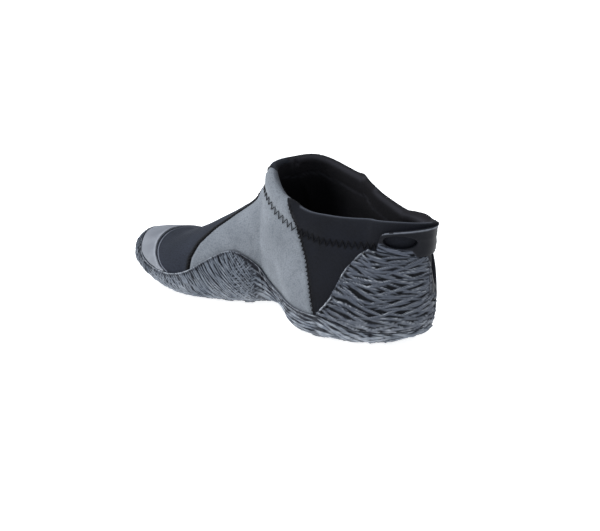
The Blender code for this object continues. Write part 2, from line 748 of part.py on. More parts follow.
def in_hole(point):
    """True inside either finger hole."""
    return any(math.hypot((point.x - side * TAB_HOLE_CENTRE[0]) / TAB_HOLE_HALF[0],
                          (point.y - TAB_HOLE_CENTRE[1]) / TAB_HOLE_HALF[1]) < 0.99 for side in (INNER, OUTER))


rings = [tab_outline(), tab_hole(INNER), tab_hole(OUTER)]
flat_points = [point for ring in rings for point in ring]
flat_edges = []
for ring in rings:
    first = len(flat_edges)
    flat_edges += [(first + k, first + (k + 1) % len(ring)) for k in range(len(ring))]
flat_points += [Vector((x, z)) for x in (-4.0, 0.0, 4.0) for z in (70.5, 74.5, 78.5)]
flat = delaunay_2d_cdt(flat_points, flat_edges, [], 1, 1e-4)
tab_points, tab_faces = flat[0], flat[2]
tab_faces = [ring for ring in tab_faces if not in_hole(sum((tab_points[k] for k in ring), Vector((0.0, 0.0))) / 3)]
tab_low = [on_heel(p.x, p.y, GAP + TAB_LIFT) for p in tab_points]
tab_high = []
for p in tab_points:
    flare = TAB_FLARE * max(p.y - TAB_HOLE_CENTRE[1], 0.0) / (TAB_EDGE[-1].z - TAB_HOLE_CENTRE[1])
    tab_high.append(on_heel(p.x, p.y, GAP + TAB_LIFT + TAB_THICKNESS + flare))
finish_piece("pull_tab", shell([list(ring) for ring in tab_faces], tab_low, tab_high), (0.03, 0.032, 0.038), 0.5)

# Origin at the middle of the underside
pieces = list(bpy.context.collection.objects)
places = [vertex.co for piece in pieces for vertex in piece.data.vertices]
middle = [(min(p[axis] for p in places) + max(p[axis] for p in places)) / 2 for axis in (0, 1)]
shift = Vector((-middle[0], -middle[1], -min(p.z for p in places)))
for piece in pieces:
    for vertex in piece.data.vertices:
        vertex.co += shift
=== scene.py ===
"""Looks of a low wetsuit bootie for the right foot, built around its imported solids.

Metres, +X from heel to toe, +Y to the inner side of the foot, +Z up, floor at Z = 0.
"""

import math
import random

import bmesh
import bpy
import numpy as np
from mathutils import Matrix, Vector
from mathutils.bvhtree import BVHTree
from mathutils.kdtree import KDTree


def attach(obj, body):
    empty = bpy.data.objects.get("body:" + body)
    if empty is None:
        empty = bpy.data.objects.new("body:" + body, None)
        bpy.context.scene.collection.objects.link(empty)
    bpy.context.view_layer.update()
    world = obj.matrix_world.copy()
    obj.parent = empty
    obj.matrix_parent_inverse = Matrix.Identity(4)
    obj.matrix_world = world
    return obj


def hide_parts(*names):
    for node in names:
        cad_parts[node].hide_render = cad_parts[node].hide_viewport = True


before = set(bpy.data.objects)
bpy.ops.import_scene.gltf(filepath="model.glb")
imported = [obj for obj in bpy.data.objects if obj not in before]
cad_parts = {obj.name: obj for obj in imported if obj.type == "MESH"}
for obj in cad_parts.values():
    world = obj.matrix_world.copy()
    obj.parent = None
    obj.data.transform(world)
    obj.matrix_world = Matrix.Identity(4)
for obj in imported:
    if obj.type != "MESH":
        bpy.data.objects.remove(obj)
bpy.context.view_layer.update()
MM = 0.001


# Upper
# Three millimetre neoprene faced with knitted nylon, cut as a black vamp, two grey side
# panels and a black heel quarter. The panels butt edge to edge, are glued and blind-stitched,
# and the collar is folded in once and held by a zigzag.
UPPER_LEVELS = 2
MERGE_DISTANCE = 0.02 * MM
SEAM_REACH = 4.5 * MM
SEAM_DEPTH = 0.75 * MM
SEAM_WIDTH = 1.0 * MM
PILLOW_HEIGHT = 0.22 * MM
PILLOW_PLACE = 2.7 * MM
PILLOW_WIDTH = 1.4 * MM
# Distances from the rim's crown where the seams' grooves start and where they are full
GROOVE_START = 1.5 * MM
GROOVE_FULL = 7.5 * MM
STITCH_DEPTH = 0.75 * MM
STITCH_WIDTH = 2.4 * MM
HEM_BULGE = 1.3 * MM
HEM_MIDDLE = 9.5 * MM
HEM_SPREAD = 6.0 * MM
HEM_FRONT_X = 8 * MM
RIM_HEIGHT = 8 * MM
# Least upward part of a normal on the crown of the rim, and on the whole rim
CROWN_UP = 0.93
RIM_UP = 0.4
FOLD_DEPTH = 14 * MM
FOLD_THICKNESS = 0.8 * MM
FOLD_STEP = 1.6 * MM
COLLAR_BACK_X = -100 * MM
COLLAR_FRONT_X = -38 * MM
# Shares of a distance along X that lie across the slanting seams
VAMP_SLANT = 0.75
QUARTER_SLANT = 0.94
# Height in mm against X in mm of each seam, seen from the side
VAMP_SEAM = ((14, 55.3), (31.5, 55.5), (42.4, 51.9), (53.4, 43), (65.6, 28.2), (72.4, 19.6),
             (80.6, 7.8), (86.6, 1), (92, -2.6))
QUARTER_SEAM = ((14, -68.1), (20.7, -66.5), (37.4, -61), (52.1, -55.6), (66.1, -48.2), (77.7, -42),
                (87.4, -36.8), (100, -31))
# Height in mm against the half width in mm of the vamp where it climbs the front of the collar
VAMP_STRIP = ((80, 15.5), (86, 14.6), (91, 13), (96, 11.4), (98.5, 11.2), (101, 13.5), (103, 18),
              (107.5, 24))
STRIP_LOW = 82 * MM
STRIP_HIGH = 90 * MM
STRIP_BACK_X = -40 * MM
# X in mm against height in mm of the collar's hem stitching
HEM_LINE = ((-140, 70.5), (-120, 70.2), (-99, 69), (-84.5, 67.4), (-65.4, 67), (-46, 71.2),
            (-33.9, 75.4), (-23.6, 80.8), (-14.6, 87), (-5, 91.5), (12, 96))
# X in mm against height in mm of the toe cap's back edge
CAP_EDGE = ((57, 15), (71.1, 16.2), (76.1, 17.4), (80.1, 19.2), (84.1, 21.4), (88.1, 24.8), (95.1, 31),
            (100.1, 36), (107.1, 42))
CAP_BACK_X = 75 * MM
BINDING_GAP = 1.9 * MM
# A distance that stands for far from any line
FAR_OFF = 10 * MM
# Points along the middle of the foot space, as X and height in mm
FOOT_AXIS = ((-140, 52), (-60, 52), (0, 40), (60, 30), (140, 22))
# The zone where the foot turns up into the collar, which is eased after rounding
ANKLE_X = -4 * MM
ANKLE_REACH = 30 * MM
ANKLE_LOW = 26 * MM
ANKLE_ABOVE_HEM = 14 * MM
ANKLE_ROUNDS = 30
# Soft folds, as the place of the middle in mm, half length and half width in mm, lean in degrees
# from level and depth in mm, negative for a ridge
FOLDS = (((14, 20, 76), 17, 3.4, -38, 0.5), ((22, 17, 68), 15, 3.2, -34, -0.35),
         ((14, -16, 76), 16, 3.4, -38, 0.45), ((-22, 30, 45), 20, 6, 62, 0.7),
         ((-34, 38, 35), 18, 5, 48, -0.5), ((-20, -34, 40), 22, 6, 60, 0.7),
         ((-92, 33, 62), 14, 4, 24, 0.4), ((-88, -30, 60), 15, 4, 20, 0.5))
# Height in mm against how far the collar leans out behind the heel in mm, and the way in plan it leans
HEEL_FLARE = ((62, 0), (70, 2.0), (80, 3.0), (83.4, 4.0), (85.4, 6.6), (88, 8.0))
FLARE_WAY = (-0.743, -0.669)
FLARE_FRONT_X = -75 * MM
FLARE_BACK_X = -115 * MM
# How far the rim sinks behind the heel
HEEL_SINK = 4.0 * MM
SINK_FRONT_X = -90 * MM
SINK_BACK_X = -116 * MM
# Seam ends that stand up on the outer side of the rim, as X, Y and rise in mm
RIM_BUMPS = ((-55.5, -27, 1.8), (-110, -15.5, 0.7))
BUMP_WIDTH = 4 * MM
# How far forward the painted highlight along the near rim's crown reaches
RIM_HIGHLIGHT_FRONT_X = -36 * MM


def table_value(rows, at):
    """The second column of a table at one or many places of its first column."""
    first = [row[0] * MM for row in rows]
    second = [row[1] * MM for row in rows]
    return np.interp(at, first, second)


def ramp(values, start, end):
    """Zero at a start, one at an end and straight between; the end may be the lower of the two."""
    return np.clip((values - start) / (end - start), 0, 1)


def hill(distance, width):
    """One at no distance, falling softly to zero over a width."""
    return np.exp(-((distance / width) ** 2))


def only_selected(piece):
    """Makes one object the active and only selected one."""
    bpy.ops.object.select_all(action="DESELECT")
    piece.select_set(True)
    bpy.context.view_layer.objects.active = piece


def corner_array(piece):
    """The mesh's points as rows of X, Y, Z."""
    flat = np.empty(3 * len(piece.data.vertices), np.float32)
    piece.data.vertices.foreach_get("co", flat)
    return flat.reshape(-1, 3).astype(float)


def normal_array(piece):
    """The mesh's point normals as rows of X, Y, Z."""
    flat = np.empty(3 * len(piece.data.vertices), np.float32)
    piece.data.vertex_normals.foreach_get("vector", flat)
    return flat.reshape(-1, 3).astype(float)


def face_arrays(piece):
    """The middle and the normal of every face as rows of X, Y, Z."""
    centres = np.empty(3 * len(piece.data.polygons), np.float32)
    normals = np.empty(3 * len(piece.data.polygons), np.float32)
    piece.data.polygons.foreach_get("center", centres)
    piece.data.polygons.foreach_get("normal", normals)
    return centres.reshape(-1, 3).astype(float), normals.reshape(-1, 3).astype(float)


def move_points(piece, offsets):
    """Adds an offset to every point of the mesh."""
    moved = corner_array(piece) + offsets
    piece.data.vertices.foreach_set("co", moved.astype(np.float32).ravel())
    piece.data.update()


def keep_value(piece, name, values):
    """Stores one number for every point of the mesh, for the material to read."""
    attribute = piece.data.attributes.new(name, "FLOAT", "POINT")
    attribute.data.foreach_set("value", values.astype(np.float32))


def copy_of(node, name):
    """A new piece with a node's own form: its triangles merged and paired into quads."""
    piece = bpy.data.objects.new(name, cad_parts[node].data.copy())
    bpy.context.scene.collection.objects.link(piece)
    piece.data.materials.clear()
    only_selected(piece)
    bpy.ops.object.mode_set(mode="EDIT")
    bpy.ops.mesh.select_mode(type="EDGE")
    bpy.ops.mesh.select_all(action="SELECT")
    bpy.ops.mesh.remove_doubles(threshold=MERGE_DISTANCE)
    bpy.ops.mesh.customdata_custom_splitnormals_clear()
    bpy.ops.mesh.tris_convert_to_quads(face_threshold=math.radians(35), shape_threshold=math.radians(60))
    bpy.ops.object.mode_set(mode="OBJECT")
    piece.data.shade_smooth()
    return piece


def round_off(piece, levels, through=False):
    """Rounds a piece by subdivision. With through, its cage is first moved so the corners stay in place."""
    modifier = piece.modifiers.new("rounding", "SUBSURF")
    modifier.levels = levels
    modifier.render_levels = levels
    if through:
        wanted = corner_array(piece)
        for _ in range(4):
            seen = piece.evaluated_get(bpy.context.evaluated_depsgraph_get())
            rounded = np.array([v.co for v in seen.to_mesh().vertices[:len(wanted)]])
            seen.to_mesh_clear()
            move_points(piece, 0.8 * (wanted - rounded))
    only_selected(piece)
    bpy.ops.object.modifier_apply(modifier=modifier.name)


def nothing_selected(piece, kind):
    """Leaves a piece active in object mode with none of its points, edges or faces selected."""
    only_selected(piece)
    bpy.ops.object.mode_set(mode="EDIT")
    bpy.ops.mesh.select_mode(type=kind)
    bpy.ops.mesh.select_all(action="DESELECT")
    bpy.ops.object.mode_set(mode="OBJECT")


def halve_selected():
    """Halves the selected edges or faces of the active piece."""
    bpy.ops.object.mode_set(mode="EDIT")
    bpy.ops.mesh.subdivide(number_cuts=1, smoothness=0)
    bpy.ops.object.mode_set(mode="OBJECT")


def refine(piece, wanted):
    """Halves the faces for which wanted(centres, normals) is true."""
    nothing_selected(piece, "FACE")
    piece.data.polygons.foreach_set("select", wanted(*face_arrays(piece)))
    halve_selected()


def vamp_side(points):
    """Distance from the vamp's seam, positive on the vamp."""
    on_foot = (points[:, 0] - table_value(VAMP_SEAM, points[:, 2])) * VAMP_SLANT
    on_collar = table_value(VAMP_STRIP, points[:, 2]) - np.abs(points[:, 1])
    on_collar = np.minimum(on_collar, points[:, 0] - STRIP_BACK_X)
    share = ramp(points[:, 2], STRIP_LOW, STRIP_HIGH)
    return on_foot * (1 - share) + on_collar * share


def quarter_side(points):
    """Distance from the heel quarter's seam, positive on the grey side panel."""
    return (points[:, 0] - table_value(QUARTER_SEAM, points[:, 2])) * QUARTER_SLANT


def hem_side(points):
    """Distance from the hem's stitch line, positive above it."""
    return points[:, 2] - table_value(HEM_LINE, points[:, 0])


def binding_side(points):
    """Distance from the line just behind the toe cap, positive behind it."""
    behind = points[:, 2] - table_value(CAP_EDGE, points[:, 0] + BINDING_GAP)
    return np.where(points[:, 0] > CAP_BACK_X, behind, FAR_OFF)


def collar_out(points):
    """Unit vectors in plan away from the middle of the collar's opening."""
    away = np.c_[points[:, 0] - np.clip(points[:, 0], COLLAR_BACK_X, COLLAR_FRONT_X), points[:, 1]]
    return away / np.maximum(np.linalg.norm(away, axis=1), 1e-6)[:, None]


def heel_flare(points):
    """How the collar leans out behind the heel, most on its outer side."""
    facing = np.clip(collar_out(points) @ FLARE_WAY, 0, 1)
    behind = ramp(points[:, 0], FLARE_FRONT_X, FLARE_BACK_X)
    lean = table_value(HEEL_FLARE, points[:, 2]) * facing ** 2 * behind * behind * (3 - 2 * behind)
    return np.c_[lean * FLARE_WAY[0], lean * FLARE_WAY[1], np.zeros(len(points))]


def faces_out(points, normals):
    """True where the skin faces away from the foot; on the collar, on the outer side of its rim."""
    away = points - np.c_[points[:, 0], np.zeros(len(points)), table_value(FOOT_AXIS, points[:, 0])]
    outer = np.einsum("ij,ij->i", away, normals) > 0
    beyond_rim = np.einsum("ij,ij->i", collar_out(points), normals[:, :2]) > 0
    return np.where(hem_side(points) > 0, beyond_rim, outer)


def near_seams(points, normals):
    """True for outer faces beside a seam, the hem stitching or the toe cap's edge."""
    beside = np.minimum(np.abs(vamp_side(points)), np.abs(quarter_side(points)))
    beside = np.minimum(beside, np.abs(hem_side(points)))
    beside = np.minimum(beside, np.abs(binding_side(points)))
    return faces_out(points, normals) & (beside < SEAM_REACH)


# A side distance that changes by more than this along one edge has jumped and marks no line
JUMP = 6 * MM


def cut_along(piece, side_of):
    """Cuts the faces along the line where side_of is zero and returns the outer points on it."""
    mesh = bmesh.new()
    mesh.from_mesh(piece.data)
    mesh.verts.ensure_lookup_table()
    values = list(side_of(np.array([v.co for v in mesh.verts])))
    added = set()
    for edge in list(mesh.edges):
        a, b = edge.verts
        if values[a.index] * values[b.index] < 0 and abs(values[a.index] - values[b.index]) < JUMP:
            added.add((edge, a, values[a.index] / (values[a.index] - values[b.index])))
    added = {bmesh.utils.edge_split(edge, a, share)[1] for edge, a, share in added}
    for face in {f for v in added for f in v.link_faces}:
        ends = [v for v in face.verts if v in added]
        if len(ends) == 2:
            bmesh.utils.face_split(face, ends[0], ends[1])
    mesh.normal_update()
    line = np.array([v.co for v in added])
    normals = np.array([v.normal for v in added])
    mesh.to_mesh(piece.data)
    mesh.free()
    return line[faces_out(line, normals)]


def distance_to(points, line):
    """Distance of every point from the nearest point of a line."""
    tree = KDTree(len(line))
    for i, place in enumerate(line):
        tree.insert(place, i)
    tree.balance()
    return np.array([tree.find(p)[2] for p in points])


upper = copy_of("upper", "upper_shell")
round_off(upper, UPPER_LEVELS, through=True)
nothing_selected(upper, "VERT")
points = corner_array(upper)
at_ankle = (np.abs(points[:, 0] - ANKLE_X) < ANKLE_REACH) & (points[:, 2] > ANKLE_LOW)
upper.data.vertices.foreach_set("select", at_ankle & (hem_side(points) < ANKLE_ABOVE_HEM))
bpy.ops.object.mode_set(mode="EDIT")
bpy.ops.mesh.vertices_smooth(factor=0.5, repeat=ANKLE_ROUNDS)
bpy.ops.object.mode_set(mode="OBJECT")
refine(upper, near_seams)
refine(upper, near_seams)
vamp_line = cut_along(upper, vamp_side)
quarter_line = cut_along(upper, quarter_side)
hem_line = cut_along(upper, hem_side)
binding_line = cut_along(upper, binding_side)

points = corner_array(upper)
normals = normal_array(upper)
outside = faces_out(points, normals)
above_hem = hem_side(points)
crown = points[(normals[:, 2] > CROWN_UP) & (above_hem > RIM_HEIGHT)]
from_crown = distance_to(points, crown)
from_vamp = distance_to(points, vamp_line)
from_quarter = distance_to(points, quarter_line)
from_hem = distance_to(points, hem_line)
rise = np.zeros(len(points))
for seam in (from_vamp, from_quarter):
    groove = PILLOW_HEIGHT * hill(seam - PILLOW_PLACE, PILLOW_WIDTH)
    groove -= SEAM_DEPTH * hill(seam, SEAM_WIDTH)
    rise += groove * ramp(from_crown, GROOVE_START, GROOVE_FULL)
rise += HEM_BULGE * hill(above_hem - HEM_MIDDLE, HEM_SPREAD) * (points[:, 0] < HEM_FRONT_X)
rise -= STITCH_DEPTH * hill(from_hem, STITCH_WIDTH)
for middle, half_length, half_width, degrees, depth in FOLDS:
    apart = points - np.array(middle) * MM
    lean = math.radians(degrees)
    along_fold = apart[:, 0] * math.cos(lean) + apart[:, 2] * math.sin(lean)
    across_fold = apart[:, 2] * math.cos(lean) - apart[:, 0] * math.sin(lean)
    same_side = points[:, 1] * middle[1] > 0
    trough = hill(along_fold, half_length * MM) * hill(across_fold, half_width * MM)
    rise -= depth * MM * trough * same_side
rise *= outside
folded = ramp(from_crown, FOLD_DEPTH, FOLD_DEPTH - FOLD_STEP) * ~outside
rise += FOLD_THICKNESS * folded * ramp(from_crown, 0, 4 * MM)
move_points(upper, normals * rise[:, None])

points = corner_array(upper)
lift = np.zeros(len(points))
for x, y, height in RIM_BUMPS:
    away = np.hypot(points[:, 0] - x * MM, points[:, 1] - y * MM)
    lift += height * MM * hill(away, BUMP_WIDTH) * ramp(above_hem, RIM_HEIGHT, 2 * RIM_HEIGHT)
behind = ramp(points[:, 0], SINK_FRONT_X, SINK_BACK_X) * np.clip(collar_out(points) @ FLARE_WAY, 0, 1)
lift -= HEEL_SINK * behind ** 2 * ramp(above_hem, 6 * MM, 14 * MM)
move_points(upper, heel_flare(points) + np.c_[np.zeros((len(points), 2)), lift])

# Darker bands beside the vamp and quarter seams; inside the collar, painted shade everywhere but on its
# crown
vamp_shade = np.clip(1.5 * hill(from_vamp, 3.0 * MM), 0, 1) * (vamp_side(points) > 0)
quarter_shade = 0.8 * hill(from_quarter, 3.6 * MM) * (quarter_side(points) < 0)
inner_shade = 0.5 * ramp(from_crown, 0, 1.6 * MM)
keep_value(upper, "seam_shade", np.where(outside, vamp_shade + quarter_shade, inner_shade))
# Pale lines inside the collar along the fold's edge and a crease of the far rim, and a painted highlight
# along the crown of the near rim
edge_of_fold = 0.5 * hill(from_crown - FOLD_DEPTH, 1.0 * MM) * ~outside
painted_rim_highlight = 0.7 * hill(from_crown, 0.7 * MM) * (points[:, 0] < RIM_HIGHLIGHT_FRONT_X) * (points[:, 1] > 0)
inner_crease = 0.4 * hill(from_crown - 3 * MM, 1.2 * MM) * ~outside * (points[:, 1] < 0)
keep_value(upper, "wear_and_highlight", np.clip(painted_rim_highlight + inner_crease + edge_of_fold, 0, 1))


def linear(code):
    """A colour written as an sRGB hex value, in linear light."""
    parts = [int(code[i:i + 2], 16) / 255 for i in (1, 3, 5)]
    return [c / 12.92 if c <= 0.04045 else ((c + 0.055) / 1.055) ** 2.4 for c in parts] + [1.0]


def add_node(tree, kind, inputs=None, **settings):
    """Adds a node, sets its properties, and sets or links its inputs."""
    node = tree.nodes.new(kind)
    for name, value in settings.items():
        setattr(node, name, value)
    for name, value in (inputs or {}).items():
        if isinstance(value, bpy.types.NodeSocket):
            tree.links.new(value, node.inputs[name])
        else:
            node.inputs[name].default_value = value
    return node


def new_material(name):
    """An empty node material, its tree and its output node."""
    material = bpy.data.materials.new(name)
    material.use_nodes = True
    tree = material.node_tree
    tree.nodes.clear()
    output = add_node(tree, "ShaderNodeOutputMaterial")
    return material, tree, output


LOOP_SIZE = 1.1 * MM
CLOUD_SIZE = 18 * MM


def knitted_nylon(name, colour, shade, seam, wear_and_highlight, sheen):
    """Knitted nylon jersey on neoprene: dull and a little hairy, cloudy from handling, dark beside its
    seams and with painted shade inside the collar, pale along its fold edges and with a painted highlight
    along the rim's crown. Its loops are half this size; they are drawn coarser to show."""
    material, tree, output = new_material(name)
    place = add_node(tree, "ShaderNodeTexCoord").outputs["Object"]
    cloud = add_node(tree, "ShaderNodeTexNoise", {"Vector": place, "Scale": 1 / CLOUD_SIZE, "Detail": 4.0})
    loops = add_node(tree, "ShaderNodeTexVoronoi",
                     {"Vector": place, "Scale": 1 / LOOP_SIZE, "Randomness": 0.6})
    fuzz = add_node(tree, "ShaderNodeTexNoise", {"Vector": place, "Scale": 3 / LOOP_SIZE, "Detail": 2.0})
    seam_shade = add_node(tree, "ShaderNodeAttribute", attribute_name="seam_shade").outputs["Fac"]
    edge = add_node(tree, "ShaderNodeAttribute", attribute_name="wear_and_highlight").outputs["Fac"]
    spread = add_node(tree, "ShaderNodeMapRange",
                      {"Value": cloud.outputs["Fac"], "From Min": 0.3, "From Max": 0.7})
    tone = add_node(tree, "ShaderNodeMix",
                    {"Factor": spread.outputs[0], 6: linear(shade), 7: linear(colour)}, data_type="RGBA")
    gap = add_node(tree, "ShaderNodeMapRange",
                   {"Value": loops.outputs["Distance"], "From Min": 0.35, "From Max": 0.8, "To Max": 0.36})
    knit = add_node(tree, "ShaderNodeMix",
                    {"Factor": gap.outputs[0], 6: tone.outputs[2], 7: linear(seam)}, data_type="RGBA")
    # Darker beside the seams, and painted shade inside the collar
    seam_and_inner_shade = add_node(tree, "ShaderNodeMix",
                    {"Factor": seam_shade, 6: knit.outputs[2], 7: linear(seam)}, data_type="RGBA")
    rubbed_and_highlit = add_node(tree, "ShaderNodeMix",
                      {"Factor": edge, 6: seam_and_inner_shade.outputs[2], 7: linear(wear_and_highlight)}, data_type="RGBA")
    height = add_node(tree, "ShaderNodeMath", {0: fuzz.outputs["Fac"], 1: loops.outputs["Distance"]},
                      operation="SUBTRACT")
    bump = add_node(tree, "ShaderNodeBump",
                    {"Height": height.outputs[0], "Strength": 0.35, "Distance": 0.25 * MM})
    shader = add_node(tree, "ShaderNodeBsdfPrincipled", {
        "Base Color": rubbed_and_highlit.outputs[2], "Roughness": 0.85, "Specular IOR Level": 0.18,
        "Sheen Weight": sheen, "Sheen Roughness": 0.45, "Normal": bump.outputs["Normal"]})
    tree.links.new(shader.outputs["BSDF"], output.inputs["Surface"])
    return material


# Jerseys by place in the upper's list, as name, colour, cloudy shade, colour beside seams, between loops and
# in the painted shade inside the collar, colour of pale fold edges and of the painted rim highlight, and
# sheen.
# The vamp takes the black jersey painted lighter, as painted top light.
GREY, BLACK, LINING, VAMP = range(4)
JERSEYS = (("grey_nylon_jersey", "#797e84", "#696e74", "#34383f", "#9a9fa6", 0.08),
           ("black_nylon_jersey", "#0d1019", "#090b12", "#030407", "#5a5e68", 0.03),
           ("black_plush_lining", "#1c1a1f", "#151418", "#0b0a0d", "#3c3c43", 0.02),
           # The vamp's copy of the black jersey, painted lighter as painted top light
           ("top_lit_black_nylon_jersey", "#262a34", "#1e222b", "#07080b", "#5a5e68", 0.03))
for jersey in JERSEYS:
    upper.data.materials.append(knitted_nylon(*jersey))
centres, face_normals = face_arrays(upper)
panel = np.where(vamp_side(centres) > 0, VAMP, np.where(quarter_side(centres) < 0, BLACK, GREY))
over_rim = (face_normals[:, 2] > RIM_UP) & (hem_side(centres) > RIM_HEIGHT) & (centres[:, 1] > 0)
panel = np.where(faces_out(centres, face_normals) | over_rim, panel, LINING)
upper.data.polygons.foreach_set("material_index", panel.astype(np.int32))
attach(upper, "root")
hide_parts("upper")


# Sewing threads
# Bonded black nylon thread: a zigzag round the folded collar, and the blind stitches that
# cross the seams of the vamp and the heel quarter.
THREAD_RADIUS = 0.28 * MM
BLIND_RADIUS = 0.32 * MM
PLY_SIZE = 0.4 * MM
# Share of the way from one corner of a stitch to the next against its rise off the skin in mm
THREAD_ARC = ((0.0, 0.0), (0.25, 0.3), (0.75, 0.3))
ZIGZAG_PITCH = 4.8 * MM
ZIGZAG_HALF = 2.8 * MM
ZIGZAG_BACK_X = -108 * MM
COLLAR_MIDDLE_X = -68 * MM
CROWN_CLEARANCE = 4 * MM
skin = BVHTree.FromPolygons([v.co for v in upper.data.vertices],
                            [p.vertices[:] for p in upper.data.polygons])


def stitches(line, pitch, low, high):
    """Points of a zigzag thread along a line on the skin, its corners at two distances beside the line."""
    steps = np.r_[0, np.cumsum(np.linalg.norm(np.diff(line, axis=0), axis=1))]
    places = np.arange(0, steps[-1], pitch / 2)
    middle = np.column_stack([np.interp(places, steps, line[:, axis]) for axis in range(3)])
    run = np.gradient(middle, axis=0)
    corners = []
    for k, (place, along) in enumerate(zip(middle, run)):
        normal = skin.find_nearest(place)[1]
        beside = normal.cross(Vector(along)).normalized()
        corners.append(Vector(place) + beside * (high if k % 2 else low))
    thread = []
    for a, b in zip(corners, corners[1:]):
        for share, height in THREAD_ARC:
            spot, normal = skin.find_nearest(a.lerp(b, share))[:2]
            thread.append(spot + normal * height * MM)
    return thread


def thin_out(line, spacing):
    """The points of an ordered line that are at least a spacing apart."""
    kept = [line[0]]
    for point in line[1:]:
        if np.linalg.norm(point - kept[-1]) > spacing:
            kept.append(point)
    return np.array(kept)


def tube(name, paths, radius):
    """A round thread along each path, as one mesh."""
    curve = bpy.data.curves.new(name, "CURVE")
    curve.dimensions = "3D"
    curve.bevel_depth = radius
    curve.bevel_resolution = 1
    curve.use_fill_caps = True
    for path in paths:
        spline = curve.splines.new("POLY")
        spline.points.add(len(path) - 1)
        spline.points.foreach_set("co", np.c_[np.array(path), np.ones(len(path))].ravel())
    piece = bpy.data.objects.new(name, curve)
    bpy.context.scene.collection.objects.link(piece)
    only_selected(piece)
    bpy.ops.object.convert(target="MESH")
    piece = bpy.context.view_layer.objects.active
    piece.data.shade_smooth()
    return piece


def twisted_thread(name, colour, shade):
    """Bonded nylon thread: slightly glossy, with the fine slanting plies of its twist."""
    material, tree, output = new_material(name)
    place = add_node(tree, "ShaderNodeTexCoord").outputs["Object"]
    plies = add_node(tree, "ShaderNodeTexNoise", {"Vector": place, "Scale": 1 / PLY_SIZE, "Detail": 1.0})
    tone = add_node(tree, "ShaderNodeMix",
                    {"Factor": plies.outputs["Fac"], 6: linear(shade), 7: linear(colour)}, data_type="RGBA")
    bump = add_node(tree, "ShaderNodeBump",
                    {"Height": plies.outputs["Fac"], "Strength": 0.4, "Distance": 0.1 * MM})
    shader = add_node(tree, "ShaderNodeBsdfPrincipled", {
        "Base Color": tone.outputs[2], "Roughness": 0.55, "Specular IOR Level": 0.15,
        "Normal": bump.outputs["Normal"]})
    tree.links.new(shader.outputs["BSDF"], output.inputs["Surface"])
    return material


black_thread = twisted_thread("black_bonded_nylon_thread", "#0b0b0e", "#040405")
turn = np.arctan2(hem_line[:, 1], hem_line[:, 0] - COLLAR_MIDDLE_X)
hem_path = hem_line[np.argsort(turn)]
hem_path = thin_out(hem_path[hem_path[:, 0] > ZIGZAG_BACK_X], 1.2 * MM)
zigzag = stitches(hem_path, ZIGZAG_PITCH, -ZIGZAG_HALF, ZIGZAG_HALF)
hem_zigzag = tube("collar_zigzag_thread", [zigzag], THREAD_RADIUS)

# The seams, as the line, lowest height, pitch, near and far corners beside it, and whether the
# inner side is sewn downwards
blind_seams = ((quarter_line, 18 * MM, 3.0 * MM, -0.7 * MM, 2.2 * MM, True),
               (vamp_line, 22 * MM, 2.4 * MM, 0.2 * MM, 2.2 * MM, False))
blind = []
for line, lowest, pitch, near, far, downwards in blind_seams:
    line = line[(line[:, 2] > lowest) & (distance_to(line, crown) > CROWN_CLEARANCE)]
    for inner in (True, False):
        half = line[(line[:, 1] > 0) == inner]
        half = thin_out(half[np.argsort(half[:, 2])], 1.0 * MM)
        blind.append(stitches(half[::-1] if inner == downwards else half, pitch, near, far))
seam_thread = tube("panel_seam_thread", blind, BLIND_RADIUS)
for piece in (hem_zigzag, seam_thread):
    piece.data.materials.append(black_thread)
    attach(piece, "root")


# Insole
# A loose plate of foam faced with black jersey that lies on the cup's floor.
# It is cut with a square edge that the facing softens.
def crease_sharp(piece, angle, value):
    """Holds a piece's sharp edges against rounding."""
    nothing_selected(piece, "EDGE")
    bpy.ops.object.mode_set(mode="EDIT")
    bpy.ops.mesh.edges_select_sharp(sharpness=math.radians(angle))
    bpy.ops.transform.edge_crease(value=value)
    bpy.ops.object.mode_set(mode="OBJECT")


insole = copy_of("insole", "insole_plate")
crease_sharp(insole, 50, 0.6)
round_off(insole, 2)
insole.data.materials.append(
    knitted_nylon("black_insole_jersey", "#17171b", "#111114", "#08080a", "#303036", 0.05))
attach(insole, "root")
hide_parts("insole")


# Toe cap
# A thin patch of grey rubber-coated cloth glued over the toe, its back edge turned up in a low
# lip, with a narrow glued binding just behind it.
CAP_LIP = 0.4 * MM
LIP_WIDTH = 1.3 * MM
BINDING_RADIUS = 0.5 * MM
PEBBLE_SIZE = 1.0 * MM
SMUDGE_SIZE = 14 * MM
# Middle of the toe's section in Y and height, round which the binding runs
TOE_MIDDLE = (5 * MM, 16 * MM)


def sharp_points(node, angle):
    """Points along a node's edges that are sharper than an angle, about half a millimetre apart."""
    mesh = bmesh.new()
    mesh.from_mesh(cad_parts[node].data)
    bmesh.ops.remove_doubles(mesh, verts=mesh.verts, dist=MERGE_DISTANCE)
    found = []
    for edge in mesh.edges:
        if len(edge.link_faces) == 2 and edge.calc_face_angle() > math.radians(angle):
            a, b = (v.co for v in edge.verts)
            count = int(edge.calc_length() / (0.5 * MM)) + 1
            found += [a.lerp(b, k / count) for k in range(count)]
    mesh.free()
    return np.array(found)


